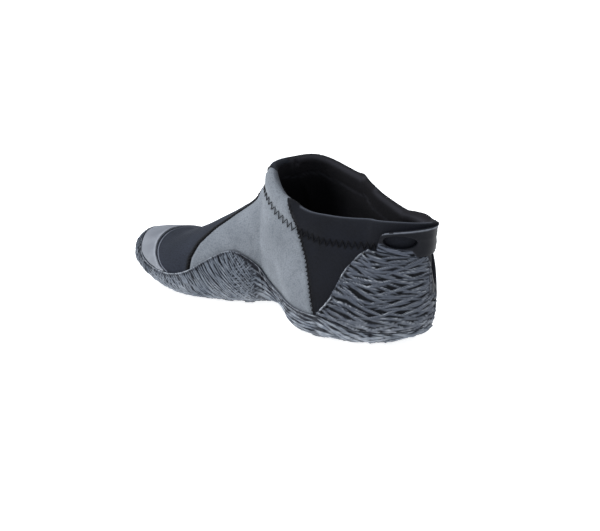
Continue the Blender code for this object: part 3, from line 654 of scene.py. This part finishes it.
def coated_cloth(name, colour, shade, wear_and_highlight):
    """Rubber-coated cloth: a matt pebbled skin with the weave just showing, smudged by use and pale
    along its turned-up edge. The pebbles are drawn coarser than the real ones, to show."""
    material, tree, output = new_material(name)
    place = add_node(tree, "ShaderNodeTexCoord").outputs["Object"]
    smudge = add_node(tree, "ShaderNodeTexNoise", {"Vector": place, "Scale": 1 / SMUDGE_SIZE, "Detail": 4.0})
    pebble = add_node(tree, "ShaderNodeTexVoronoi", {"Vector": place, "Scale": 1 / PEBBLE_SIZE})
    edge = add_node(tree, "ShaderNodeAttribute", attribute_name="wear_and_highlight").outputs["Fac"]
    spread = add_node(tree, "ShaderNodeMapRange",
                      {"Value": smudge.outputs["Fac"], "From Min": 0.3, "From Max": 0.7})
    tone = add_node(tree, "ShaderNodeMix",
                    {"Factor": spread.outputs[0], 6: linear(shade), 7: linear(colour)}, data_type="RGBA")
    rubbed_and_highlit = add_node(tree, "ShaderNodeMix",
                      {"Factor": edge, 6: tone.outputs[2], 7: linear(wear_and_highlight)}, data_type="RGBA")
    rough = add_node(tree, "ShaderNodeMapRange",
                     {"Value": smudge.outputs["Fac"], "To Min": 0.5, "To Max": 0.72})
    bump = add_node(tree, "ShaderNodeBump",
                    {"Height": pebble.outputs["Distance"], "Strength": 0.25, "Distance": 0.2 * MM})
    shader = add_node(tree, "ShaderNodeBsdfPrincipled", {
        "Base Color": rubbed_and_highlit.outputs[2], "Roughness": rough.outputs[0], "Specular IOR Level": 0.35,
        "Normal": bump.outputs["Normal"]})
    tree.links.new(shader.outputs["BSDF"], output.inputs["Surface"])
    return material


cap = copy_of("toe_cap", "toe_cap_patch")
crease_sharp(cap, 50, 0.7)
round_off(cap, 2)
points = corner_array(cap)
back_edge = sharp_points("toe_cap", 50)
back_edge = back_edge[distance_to(back_edge, binding_line) < 5 * MM]
lip = hill(distance_to(points, back_edge), LIP_WIDTH)
move_points(cap, normal_array(cap) * (CAP_LIP * lip)[:, None])
keep_value(cap, "wear_and_highlight", 0.3 * lip)
cap.data.materials.append(coated_cloth("grey_coated_cloth", "#7d8086", "#676a71", "#9da1a9"))
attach(cap, "root")
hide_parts("toe_cap")

turn = np.arctan2(binding_line[:, 2] - TOE_MIDDLE[1], binding_line[:, 1] - TOE_MIDDLE[0])
binding_path = thin_out(binding_line[np.argsort(turn)], 1.6 * MM)
binding = tube("toe_cap_binding", [[Vector(p) for p in binding_path]], BINDING_RADIUS)
binding.data.materials.append(coated_cloth("grey_rubber_binding", "#676b75", "#585c66", "#868a92"))
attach(binding, "root")


# Outsole
# One moulding of grey rubber: lugged floor, rounded edge, toe rand and two ball wings. A relief of
# slender interleaved strands stands on its outer wall, and fine waved sipes are cut in its floor.
TOE_CENTRE_X = 88 * MM
HEEL_CENTRE_X = -99 * MM
TOE_RADIUS = 44 * MM
HEEL_RADIUS = 37 * MM
HALF_RUN = TOE_RADIUS * math.pi / 2 + TOE_CENTRE_X - HEEL_CENTRE_X + HEEL_RADIUS * math.pi / 2
GAP_DEPTH = 1.3 * MM
CREST_HEIGHT = 0.35 * MM
EDGE_FADE = 1.3 * MM
RIDGE_PLACE = 0.35
SIPE_DEPTH = 0.4 * MM
SIPE_PITCH = 5.2 * MM
SIPE_SWAY = 2.4 * MM
SIPE_WAVE = 15 * MM
HEEL_TUCK = 3.4 * MM
TUCK_TOP = 26 * MM
TUCK_FRONT_X = -85 * MM
TUCK_BACK_X = -115 * MM
COUNTER_FRONT_X = -71 * MM
WING_BACK_X = -12 * MM
FLOOR_CLEARANCE = 1.2 * MM
ARCH_BACK_X = -70 * MM
ARCH_FRONT_X = 20 * MM
ARCH_FADE = 10 * MM
# Least outward part of a normal on the carved wall, and on the wall that is shaded
CARVED_FACING = 0.12
SHADED_FACING = 0.45
# X in mm against height in mm of the inner wall's top edge
WALL_EDGE = ((-134, 13), (-99, 11), (-73, 17.6), (-61, 17.4), (-41, 19), (-19, 22), (3, 39), (17, 43.6),
             (33, 37), (59, 20.4), (71, 17.2), (93, 19.2), (107, 24), (117, 30), (134, 34.5))


def outward(points):
    """Unit vectors in plan from the foot's middle line to its edge."""
    middle = np.clip(points[:, 0], HEEL_CENTRE_X, TOE_CENTRE_X)
    away = np.c_[points[:, 0] - middle, points[:, 1]]
    return away / np.maximum(np.linalg.norm(away, axis=1), 1e-6)[:, None]


def edge_run(points):
    """Distance along the sole's edge from the toe tip back to the heel, the same on both sides."""
    x = points[:, 0]
    y = np.abs(points[:, 1])
    toe_turn = np.arctan2(y, np.maximum(x - TOE_CENTRE_X, 0))
    heel_turn = np.arctan2(np.maximum(HEEL_CENTRE_X - x, 0), y)
    straight = TOE_CENTRE_X - np.clip(x, HEEL_CENTRE_X, TOE_CENTRE_X)
    return TOE_RADIUS * toe_turn + straight + HEEL_RADIUS * heel_turn


def scatter(along_span, across_span, run, rise, half_length, half_width, lean, spread, seed):
    """Slender strands in staggered rows over a sheet, as centre, half length, half width, angle, height."""
    draw = random.Random(seed)
    first, last = along_span
    low, high = across_span
    strands = []
    row = 0
    while low + row * rise < high:
        start = first + run * (0.5 * (row % 2) + draw.uniform(-0.12, 0.12))
        while start < last:
            u = start + draw.uniform(-0.15, 0.15) * run
            v = low + (row + draw.uniform(-0.2, 0.2)) * rise
            angle = lean(u) + draw.uniform(-spread, spread)
            length = half_length * draw.uniform(0.8, 1.25)
            width = half_width * draw.uniform(0.85, 1.15)
            strands.append((u, v, length, width, angle, draw.uniform(0.62, 1.0)))
            start += run
        row += 1
    return strands


def heaped(strands, along, across):
    """Height from 0 to 1 of rounded strands with pointed ends heaped on a sheet."""
    height = np.zeros(len(along))
    for u, v, length, width, angle, lift in strands:
        reach = length * abs(math.sin(angle)) + width
        near = np.nonzero((np.abs(along - u) < length) & (np.abs(across - v) < reach))[0]
        if len(near) == 0:
            continue
        s = ((along[near] - u) * math.cos(angle) + (across[near] - v) * math.sin(angle)) / length
        t = (across[near] - v) * math.cos(angle) - (along[near] - u) * math.sin(angle)
        taper = np.clip(1 - s * s, 0, 1)
        t = t / np.maximum(width * taper ** 0.7, 0.02 * width)
        ridge = np.where(t > RIDGE_PLACE, (1 - t) / (1 - RIDGE_PLACE), (1 + t) / (1 + RIDGE_PLACE))
        height[near] = np.maximum(height[near], lift * np.clip(ridge, 0, 1) ** 0.75 * taper ** 0.25)
    return height


def heel_lean(along):
    """Mean slope of the heel's strands: down towards the back beside the heel, up behind it."""
    slope = np.interp(abs(along), (0, 14 * MM, 34 * MM, 60 * MM, 85 * MM), (-6, -8, 1, 14, 25))
    return math.radians(slope) * (1 if along > 0 else -1)


def level(along):
    """No slope."""
    return 0.0


HEEL_STRANDS = scatter((-95 * MM, 95 * MM), (-1 * MM, 76 * MM), run=14 * MM, rise=2.3 * MM,
                       half_length=12 * MM, half_width=1.5 * MM, lean=heel_lean, spread=0.32, seed=7)
WING_STRANDS = scatter((-2 * MM, 48 * MM), (-30 * MM, 240 * MM), run=9 * MM, rise=2.3 * MM,
                       half_length=6.5 * MM, half_width=1.3 * MM, lean=level, spread=0.14, seed=11)
CROSS_STRANDS = scatter((80 * MM, 160 * MM), (-40 * MM, 80 * MM), run=6.5 * MM, rise=2.8 * MM,
                        half_length=3.8 * MM, half_width=1.15 * MM, lean=level, spread=0.5, seed=5)
ARCH_STRANDS = scatter((90 * MM, 270 * MM), (-2 * MM, 22 * MM), run=15 * MM, rise=2.6 * MM,
                       half_length=11 * MM, half_width=1.5 * MM, lean=level, spread=0.05, seed=17)


def heel_relief(points):
    """Long strands that lie nearly level round the heel."""
    along = np.where(points[:, 1] > 0, 1, -1) * (HALF_RUN - edge_run(points))
    return heaped(HEEL_STRANDS, along, points[:, 2] + 0.6 * MM * np.sin(along / (6 * MM)))


def wing_relief(points):
    """Strands that run down and back over the wings and the toe rand."""
    height = points[:, 2]
    across = edge_run(points) + 0.62 * height - 10 * MM * np.exp(-(height - 3 * MM) / (10 * MM))
    return heaped(WING_STRANDS, height, across)


def cross_relief(points):
    """Strands that run down and forward behind the wing's peak, across the others."""
    run = edge_run(points)
    return heaped(CROSS_STRANDS, 0.8 * run + 0.6 * points[:, 2], points[:, 2] - 0.8 * (run - 110 * MM))


def arch_relief(points):
    """Long strands that follow the low wall beside the arch."""
    share = points[:, 2] / table_value(WALL_EDGE, points[:, 0])
    return heaped(ARCH_STRANDS, edge_run(points), share * 20 * MM)


def sole_relief(points):
    """The heel's strands behind the arch, long ones along the arch and slanted ones on the wings."""
    x = points[:, 0]
    heel = ramp(x, -66 * MM, -76 * MM)
    wing = ramp(x, -2 * MM, 8 * MM)
    cross = np.clip(1.4 - np.abs(x - 10 * MM) / (13 * MM), 0, 0.9)
    arch = ramp(x, 10 * MM, -2 * MM) * (1 - heel)
    height = np.zeros(len(points))
    for weight, relief in ((heel, heel_relief), (wing, wing_relief), (cross, cross_relief),
                           (arch, arch_relief)):
        some = np.nonzero(weight > 0)[0]
        height[some] = np.maximum(height[some], weight[some] * relief(points[some]))
    return height


def outer_wall(points, normals):
    """True for the rubber's outer side, off the floor."""
    facing = np.einsum("ij,ij->i", outward(points), normals[:, :2])
    return (facing > CARVED_FACING) & (points[:, 2] > FLOOR_CLEARANCE)


def carve(piece, relief, edge, share):
    """Stands a relief on a piece's outer side, fading to its free edge and where it turns down to the floor.
    Keeps as values for the material the painted shade of the gaps, under the lip and on faces turned away,
    the painted highlight on upturned ridges, and the pale edge, partly rubbed and partly painted highlight."""
    points = corner_array(piece)
    normals = normal_array(piece)
    height = relief(points)
    from_edge = distance_to(points, edge)
    facing = np.einsum("ij,ij->i", outward(points), normals[:, :2])
    turned_down = np.where(normals[:, 2] < 0, ramp(facing, CARVED_FACING, 0.52), 1)
    amount = outer_wall(points, normals) * turned_down * share * np.clip(from_edge / EDGE_FADE, 0.1, 1)
    move_points(piece, normals * (amount * (CREST_HEIGHT * height - GAP_DEPTH * (1 - height)))[:, None])
    # Facets that the relief turns upwards, for a painted highlight
    upturned = ramp(normal_array(piece)[:, 2] - normals[:, 2], 0.12, 0.52)
    x = points[:, 0]
    beside_arch = ramp(x, ARCH_FRONT_X, ARCH_FRONT_X - ARCH_FADE)
    beside_arch *= ramp(x, ARCH_BACK_X, ARCH_BACK_X + ARCH_FADE)
    # Painted shadow just below the free edge's lip, wider and darker beside the arch
    painted_shadow_under_lip = (0.5 + 0.5 * beside_arch) * hill(from_edge - 1.6 * MM, (1.0 + 0.5 * beside_arch) * MM)
    # Darker towards the toe tip
    toe_darkening = 0.4 * ramp(x, 84 * MM, 98 * MM)
    # Painted shade in the gaps between the strands, with the painted shadow under the lip, darker towards
    # the toe and beside the arch
    shade = ramp(height, 0.62, 0.2) + painted_shadow_under_lip + toe_darkening + 0.2 * beside_arch
    # Faces turned from the outer wall get a fixed painted shade
    keep_value(piece, "relief", np.where(facing > SHADED_FACING, share * np.clip(shade, 0, 1), 0.7))
    # The painted highlight on the upturned ridges
    keep_value(piece, "ridge", (facing > SHADED_FACING) * share * upturned * ramp(height, 0.35, 0.65))
    # Pale along the free edge, partly rubbed and partly painted highlight
    keep_value(piece, "wear_and_highlight", (facing > 0.6) * (0.9 - 0.3 * beside_arch) * hill(from_edge, 0.6 * MM))


def heel_tuck(points):
    """How the rubber draws in low down on the outer back corner of the heel."""
    facing = np.clip(outward(points) @ FLARE_WAY, 0, 1)
    behind = ramp(points[:, 0], TUCK_FRONT_X, TUCK_BACK_X)
    low = ramp(points[:, 2], TUCK_TOP, 0)
    draw = -HEEL_TUCK * facing ** 2 * behind * low ** 2
    return np.c_[draw * FLARE_WAY[0], draw * FLARE_WAY[1], np.zeros(len(points))]


GRAIN_SIZE = 0.9 * MM
FLECK_SIZE = 2.2 * MM
PATCH_SIZE = 7 * MM
# Heights over which the rubber pales towards the floor, from dust and painted light from the floor
DUST_AND_LIGHT_LOW = 1 * MM
DUST_AND_LIGHT_TOP = 26 * MM


def moulded_rubber(name, crest, pit, wear_and_highlight, smooth, roughness):
    """Moulded rubber: satin with a fine mould grain, dull and with painted shade between its strands, a
    painted highlight on their upturned ridges, pale along its edges, partly rubbed and partly painted
    highlight, and paler low down from dust and painted light from the floor; smooth and dark where the mould
    has no relief.
    The grain is drawn coarser than the mould's, to show."""
    material, tree, output = new_material(name)
    place = add_node(tree, "ShaderNodeTexCoord").outputs["Object"]
    relief = add_node(tree, "ShaderNodeAttribute", attribute_name="relief").outputs["Fac"]
    edge = add_node(tree, "ShaderNodeAttribute", attribute_name="wear_and_highlight").outputs["Fac"]
    plain = add_node(tree, "ShaderNodeAttribute", attribute_name="plain").outputs["Fac"]
    ridge = add_node(tree, "ShaderNodeAttribute", attribute_name="ridge").outputs["Fac"]
    grain = add_node(tree, "ShaderNodeTexNoise", {"Vector": place, "Scale": 1 / GRAIN_SIZE, "Detail": 3.0})
    cloud = add_node(tree, "ShaderNodeTexNoise", {"Vector": place, "Scale": 1 / PATCH_SIZE, "Detail": 5.0})
    flecks = add_node(tree, "ShaderNodeTexNoise", {"Vector": place, "Scale": 1 / FLECK_SIZE, "Detail": 2.0})
    height = add_node(tree, "ShaderNodeSeparateXYZ", {"Vector": place}).outputs["Z"]
    # Paler low down on the crests: dust, and painted light from the floor
    dust_and_floor_light = add_node(tree, "ShaderNodeMapRange", {
        "Value": height, "From Min": DUST_AND_LIGHT_LOW, "From Max": DUST_AND_LIGHT_TOP, "To Min": 1.0, "To Max": 0.0})
    settled_dust_and_light = add_node(tree, "ShaderNodeMath", {0: dust_and_floor_light.outputs[0], 1: 1.6}, operation="POWER")
    patchy = add_node(tree, "ShaderNodeMapRange",
                      {"Value": cloud.outputs["Fac"], "From Min": 0.35, "From Max": 0.65})
    patchy_dust_and_light = add_node(tree, "ShaderNodeMath", {0: settled_dust_and_light.outputs[0], 1: patchy.outputs[0]},
                     operation="MULTIPLY")
    mottle = add_node(tree, "ShaderNodeMapRange", {
        "Value": cloud.outputs["Fac"], "From Min": 0.3, "From Max": 0.7, "To Min": -0.1, "To Max": 0.14})
    shade = add_node(tree, "ShaderNodeMath", {0: relief, 1: mottle.outputs[0]}, operation="ADD",
                     use_clamp=True)
    # Painted shade: the crest colour turns to the pit colour in the gaps between strands
    tone = add_node(tree, "ShaderNodeMix",
                    {"Factor": shade.outputs[0], 6: linear(crest), 7: linear(pit)}, data_type="RGBA")
    # Painted highlight on the upturned ridges, in patches
    painted_ridge_highlight = add_node(tree, "ShaderNodeMath", {0: ridge, 1: patchy.outputs[0]}, operation="MULTIPLY")
    painted_ridge_highlight_strength = add_node(tree, "ShaderNodeMath", {0: painted_ridge_highlight.outputs[0], 1: 0.95}, operation="MULTIPLY")
    lit = add_node(tree, "ShaderNodeMix",
                   {"Factor": painted_ridge_highlight_strength.outputs[0], 6: tone.outputs[2], 7: linear(wear_and_highlight)}, data_type="RGBA")
    bare = add_node(tree, "ShaderNodeMix",
                    {"Factor": plain, 6: lit.outputs[2], 7: linear(smooth)}, data_type="RGBA")
    raised = add_node(tree, "ShaderNodeMapRange", {"Value": shade.outputs[0], "To Min": 1.0, "To Max": 0.3})
    crest_dust_and_light = add_node(tree, "ShaderNodeMath", {0: patchy_dust_and_light.outputs[0], 1: raised.outputs[0]},
                      operation="MULTIPLY")
    floor_dust_and_light = add_node(tree, "ShaderNodeMix",
                          {"Factor": crest_dust_and_light.outputs[0], 6: bare.outputs[2], 7: linear(wear_and_highlight)},
                          data_type="RGBA")
    broken = add_node(tree, "ShaderNodeMapRange", {
        "Value": flecks.outputs["Fac"], "From Min": 0.38, "From Max": 0.62, "To Min": 0.25})
    whole = add_node(tree, "ShaderNodeMath", {0: broken.outputs[0], 1: plain}, operation="MAXIMUM")
    broken_edge = add_node(tree, "ShaderNodeMath", {0: edge, 1: whole.outputs[0]}, operation="MULTIPLY")
    rubbed_and_highlit = add_node(tree, "ShaderNodeMix",
                      {"Factor": broken_edge.outputs[0], 6: floor_dust_and_light.outputs[2], 7: linear(wear_and_highlight)},
                      data_type="RGBA")
    dull = add_node(tree, "ShaderNodeMapRange",
                    {"Value": shade.outputs[0], "To Min": roughness, "To Max": roughness + 0.3})
    bump = add_node(tree, "ShaderNodeBump",
                    {"Height": grain.outputs["Fac"], "Strength": 0.25, "Distance": 0.25 * MM})
    shader = add_node(tree, "ShaderNodeBsdfPrincipled", {
        "Base Color": rubbed_and_highlit.outputs[2], "Roughness": dull.outputs[0], "Specular IOR Level": 0.15,
        "Normal": bump.outputs["Normal"]})
    tree.links.new(shader.outputs["BSDF"], output.inputs["Surface"])
    return material


def wing_wall(points, normals):
    """True for the outer side of the wings and the toe rand."""
    return outer_wall(points, normals) & (points[:, 0] > WING_BACK_X)


def underside(points, normals):
    """True for the sole's floor side."""
    return (normals[:, 2] < -0.6) & (points[:, 2] < 14 * MM)


def split_long(piece, wanted, limit):
    """Halves the edges longer than a limit for whose ends wanted(points, normals) is true."""
    nothing_selected(piece, "EDGE")
    points = corner_array(piece)
    ends = np.empty(2 * len(piece.data.edges), np.int32)
    piece.data.edges.foreach_get("vertices", ends)
    ends = ends.reshape(-1, 2)
    is_long = np.linalg.norm(points[ends[:, 1]] - points[ends[:, 0]], axis=1) > limit
    chosen = wanted(points, normal_array(piece))
    piece.data.edges.foreach_set("select", is_long & chosen[ends[:, 0]] & chosen[ends[:, 1]])
    halve_selected()


sole = copy_of("outsole", "sole_rubber")
crease_sharp(sole, 38, 0.75)
round_off(sole, 2)
split_long(sole, outer_wall, 1.2 * MM)
split_long(sole, wing_wall, 0.8 * MM)
rim = sharp_points("outsole", 55)
rim = rim[rim[:, 2] > table_value(WALL_EDGE, rim[:, 0]) - 6 * MM]
rim = rim[rim[:, 0] > COUNTER_FRONT_X]
carve(sole, sole_relief, rim, 1.0)
points = corner_array(sole)
normals = normal_array(sole)
sway = SIPE_SWAY * np.sin(2 * math.pi * points[:, 1] / SIPE_WAVE)
wave = np.sin(2 * math.pi * (points[:, 0] + sway) / SIPE_PITCH)
sipe = ramp(wave, 0.55, 0.85) * underside(points, normals)
move_points(sole, np.c_[np.zeros((len(points), 2)), SIPE_DEPTH * sipe] + heel_tuck(points))
sole.data.materials.append(
    moulded_rubber("grey_moulded_rubber", "#6a717b", "#14161d", "#a9aeb5", "#4a4d54", 0.5))
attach(sole, "root")
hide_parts("outsole")


# Heel counter
# A moulded rubber shell glued round the heel above the sole, with the heel's strands, a thin free
# edge that stands off the skin, and a notch behind the heel with smooth rubber beside it.
LIP_RISE = 0.3 * MM
FREE_LIP_WIDTH = 0.7 * MM
SKIN_GAP = 0.9 * MM
TAB_FOOT_TOP = 68 * MM
JOINT_WIDTH = 3 * MM
JOINT_OUT = 0.6 * MM
JOINT_UP = 0.9 * MM
SMOOTH_END = 30 * MM
SMOOTH_FADE = 2 * MM


def free_edge(node, angle):
    """Points along a rubber piece's sharp edges, off its joint with the sole."""
    line = sharp_points(node, angle)
    return line[line[:, 2] > table_value(WALL_EDGE, line[:, 0]) + 2.5 * MM]


def smooth_zone(points):
    """One on the smooth rubber beside the notch behind the heel, zero on the strands."""
    from_middle = HALF_RUN - edge_run(points)
    beside = ramp(from_middle, 0, SMOOTH_FADE) * ramp(from_middle, SMOOTH_END, SMOOTH_END - SMOOTH_FADE)
    foot = np.interp(from_middle, (8 * MM, 16 * MM), (34 * MM, 26 * MM))
    return beside * ramp(points[:, 2], foot, foot + 4 * MM) * (points[:, 1] < 2 * MM)


tab_foot = sharp_points("pull_tab", 55)
tab_foot = tab_foot[tab_foot[:, 2] < TAB_FOOT_TOP]
counter = copy_of("heel_counter", "heel_counter_shell")
crease_sharp(counter, 38, 0.75)
round_off(counter, 2)
split_long(counter, outer_wall, 0.9 * MM)
split_long(counter, outer_wall, 0.9 * MM)
edge = free_edge("heel_counter", 72)
edge = edge[distance_to(edge, tab_foot) > JOINT_WIDTH]
edge = edge[[skin.find_nearest(place)[3] > SKIN_GAP for place in edge]]
edge = edge[smooth_zone(edge) < 0.5]
plain = smooth_zone(corner_array(counter))
carve(counter, heel_relief, edge, 1 - plain)
points = corner_array(counter)
lip = hill(distance_to(points, edge), FREE_LIP_WIDTH)
joint = ramp(distance_to(points, tab_foot), JOINT_WIDTH, 0)
to_tab = np.c_[outward(points) * JOINT_OUT, np.full(len(points), JOINT_UP)] * joint[:, None]
move_points(counter, normal_array(counter) * (LIP_RISE * lip)[:, None] + to_tab
            + heel_flare(points) + heel_tuck(points))
keep_value(counter, "plain", plain)
counter.data.materials.append(
    moulded_rubber("dark_moulded_rubber", "#4a4f59", "#06080d", "#b0b5bc", "#14161d", 0.45))
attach(counter, "root")
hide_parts("heel_counter")


# Pull tab
# A rubber band glued across the back of the heel with a finger window on each side, smooth
# above, its lower strip moulded with the heel's strands.
TAB_MIDDLE_Y = 2.5 * MM
TAB_TOP_EDGE = 79.5 * MM
TAB_THINNING = 0.9 * MM
THIN_LOW = 76 * MM
THIN_HIGH = 82 * MM
STRIP_FADE = 1.2 * MM
# Distance from the tab's middle in mm against the height in mm up to which strands stand on it
LEAF_TOP = ((0, 60), (8.5, 62), (10.5, 66), (12.5, 69.2), (16.5, 69.8), (20, 71), (24, 73.3), (28, 74.5))
tab = copy_of("pull_tab", "heel_pull_tab")
crease_sharp(tab, 38, 0.6)
round_off(tab, 3)
points = corner_array(tab)
strip_top = table_value(LEAF_TOP, np.abs(points[:, 1] - TAB_MIDDLE_Y))
low_strip = ramp(points[:, 2], strip_top, strip_top - STRIP_FADE)
top_edge = free_edge("pull_tab", 55)
top_edge = top_edge[top_edge[:, 2] > TAB_TOP_EDGE]
carve(tab, heel_relief, top_edge, low_strip)
thinned = TAB_THINNING * ramp(points[:, 2], THIN_LOW, THIN_HIGH) * outer_wall(points, normal_array(tab))
move_points(tab, heel_flare(points) - np.c_[outward(points), np.ones(len(points))] * thinned[:, None])
keep_value(tab, "plain", 1 - low_strip)
tab.data.materials.append(
    moulded_rubber("smooth_black_rubber", "#4b505b", "#06080d", "#7d828c", "#0b0d14", 0.5))
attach(tab, "root")
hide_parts("pull_tab")


# Floor, light and camera
# A white sweep under three softboxes and a pale sky. The camera stands behind the bootie on its
# inner side, as in the photograph, and was fitted to the outline there.
IMAGE_WIDTH = 600
TARGET = Vector((1.12, 2.49, 55.0)) * MM
CAMERA_TURN = math.radians(48.03)
CAMERA_RISE = math.radians(16.04)
CAMERA_DISTANCE = 1099.9 * MM
CAMERA_VIEW = math.radians(22.45)
CENTRE_SHIFT = (21.82, -34.5)
# Softboxes, as place and size in metres and power in watts
SOFTBOXES = (((0.8, 0.45, 1.25), 0.8, 30), ((0.4, 1.35, 0.6), 0.8, 3), ((-1.2, 0.2, 1.0), 0.6, 5))

bpy.ops.mesh.primitive_plane_add(size=12)
floor = bpy.context.active_object
floor.name = "floor"
material, tree, output = new_material("white_floor")
glow = add_node(tree, "ShaderNodeEmission", {"Color": (1, 1, 1, 1), "Strength": 0.86})
paint = add_node(tree, "ShaderNodeBsdfDiffuse", {"Color": (0.8, 0.8, 0.8, 1)})
both = add_node(tree, "ShaderNodeAddShader", {0: glow.outputs[0], 1: paint.outputs[0]})
tree.links.new(both.outputs[0], output.inputs["Surface"])
floor.data.materials.append(material)

world = bpy.data.worlds.new("studio")
bpy.context.scene.world = world
world.use_nodes = True
world.node_tree.nodes["Background"].inputs["Color"].default_value = (0.86, 0.92, 1, 1)
world.node_tree.nodes["Background"].inputs["Strength"].default_value = 0.26

for place, size, power in SOFTBOXES:
    light = bpy.data.lights.new("softbox", "AREA")
    light.size = size
    light.energy = power
    light.color = (0.93, 0.96, 1)
    lamp = bpy.data.objects.new("softbox", light)
    bpy.context.scene.collection.objects.link(lamp)
    lamp.location = place
    lamp.rotation_euler = (TARGET - Vector(place)).to_track_quat("-Z", "Y").to_euler()

back = Vector((-math.cos(CAMERA_TURN) * math.cos(CAMERA_RISE),
               math.sin(CAMERA_TURN) * math.cos(CAMERA_RISE), math.sin(CAMERA_RISE)))
view = bpy.data.cameras.new("camera")
view.angle = CAMERA_VIEW
view.shift_x = CENTRE_SHIFT[0] / IMAGE_WIDTH
view.shift_y = CENTRE_SHIFT[1] / IMAGE_WIDTH
camera = bpy.data.objects.new("camera", view)
bpy.context.scene.collection.objects.link(camera)
camera.location = TARGET + back * CAMERA_DISTANCE
camera.rotation_euler = (-back).to_track_quat("-Z", "Y").to_euler()
bpy.context.scene.camera = camera
bpy.context.scene.view_settings.view_transform = "Standard"
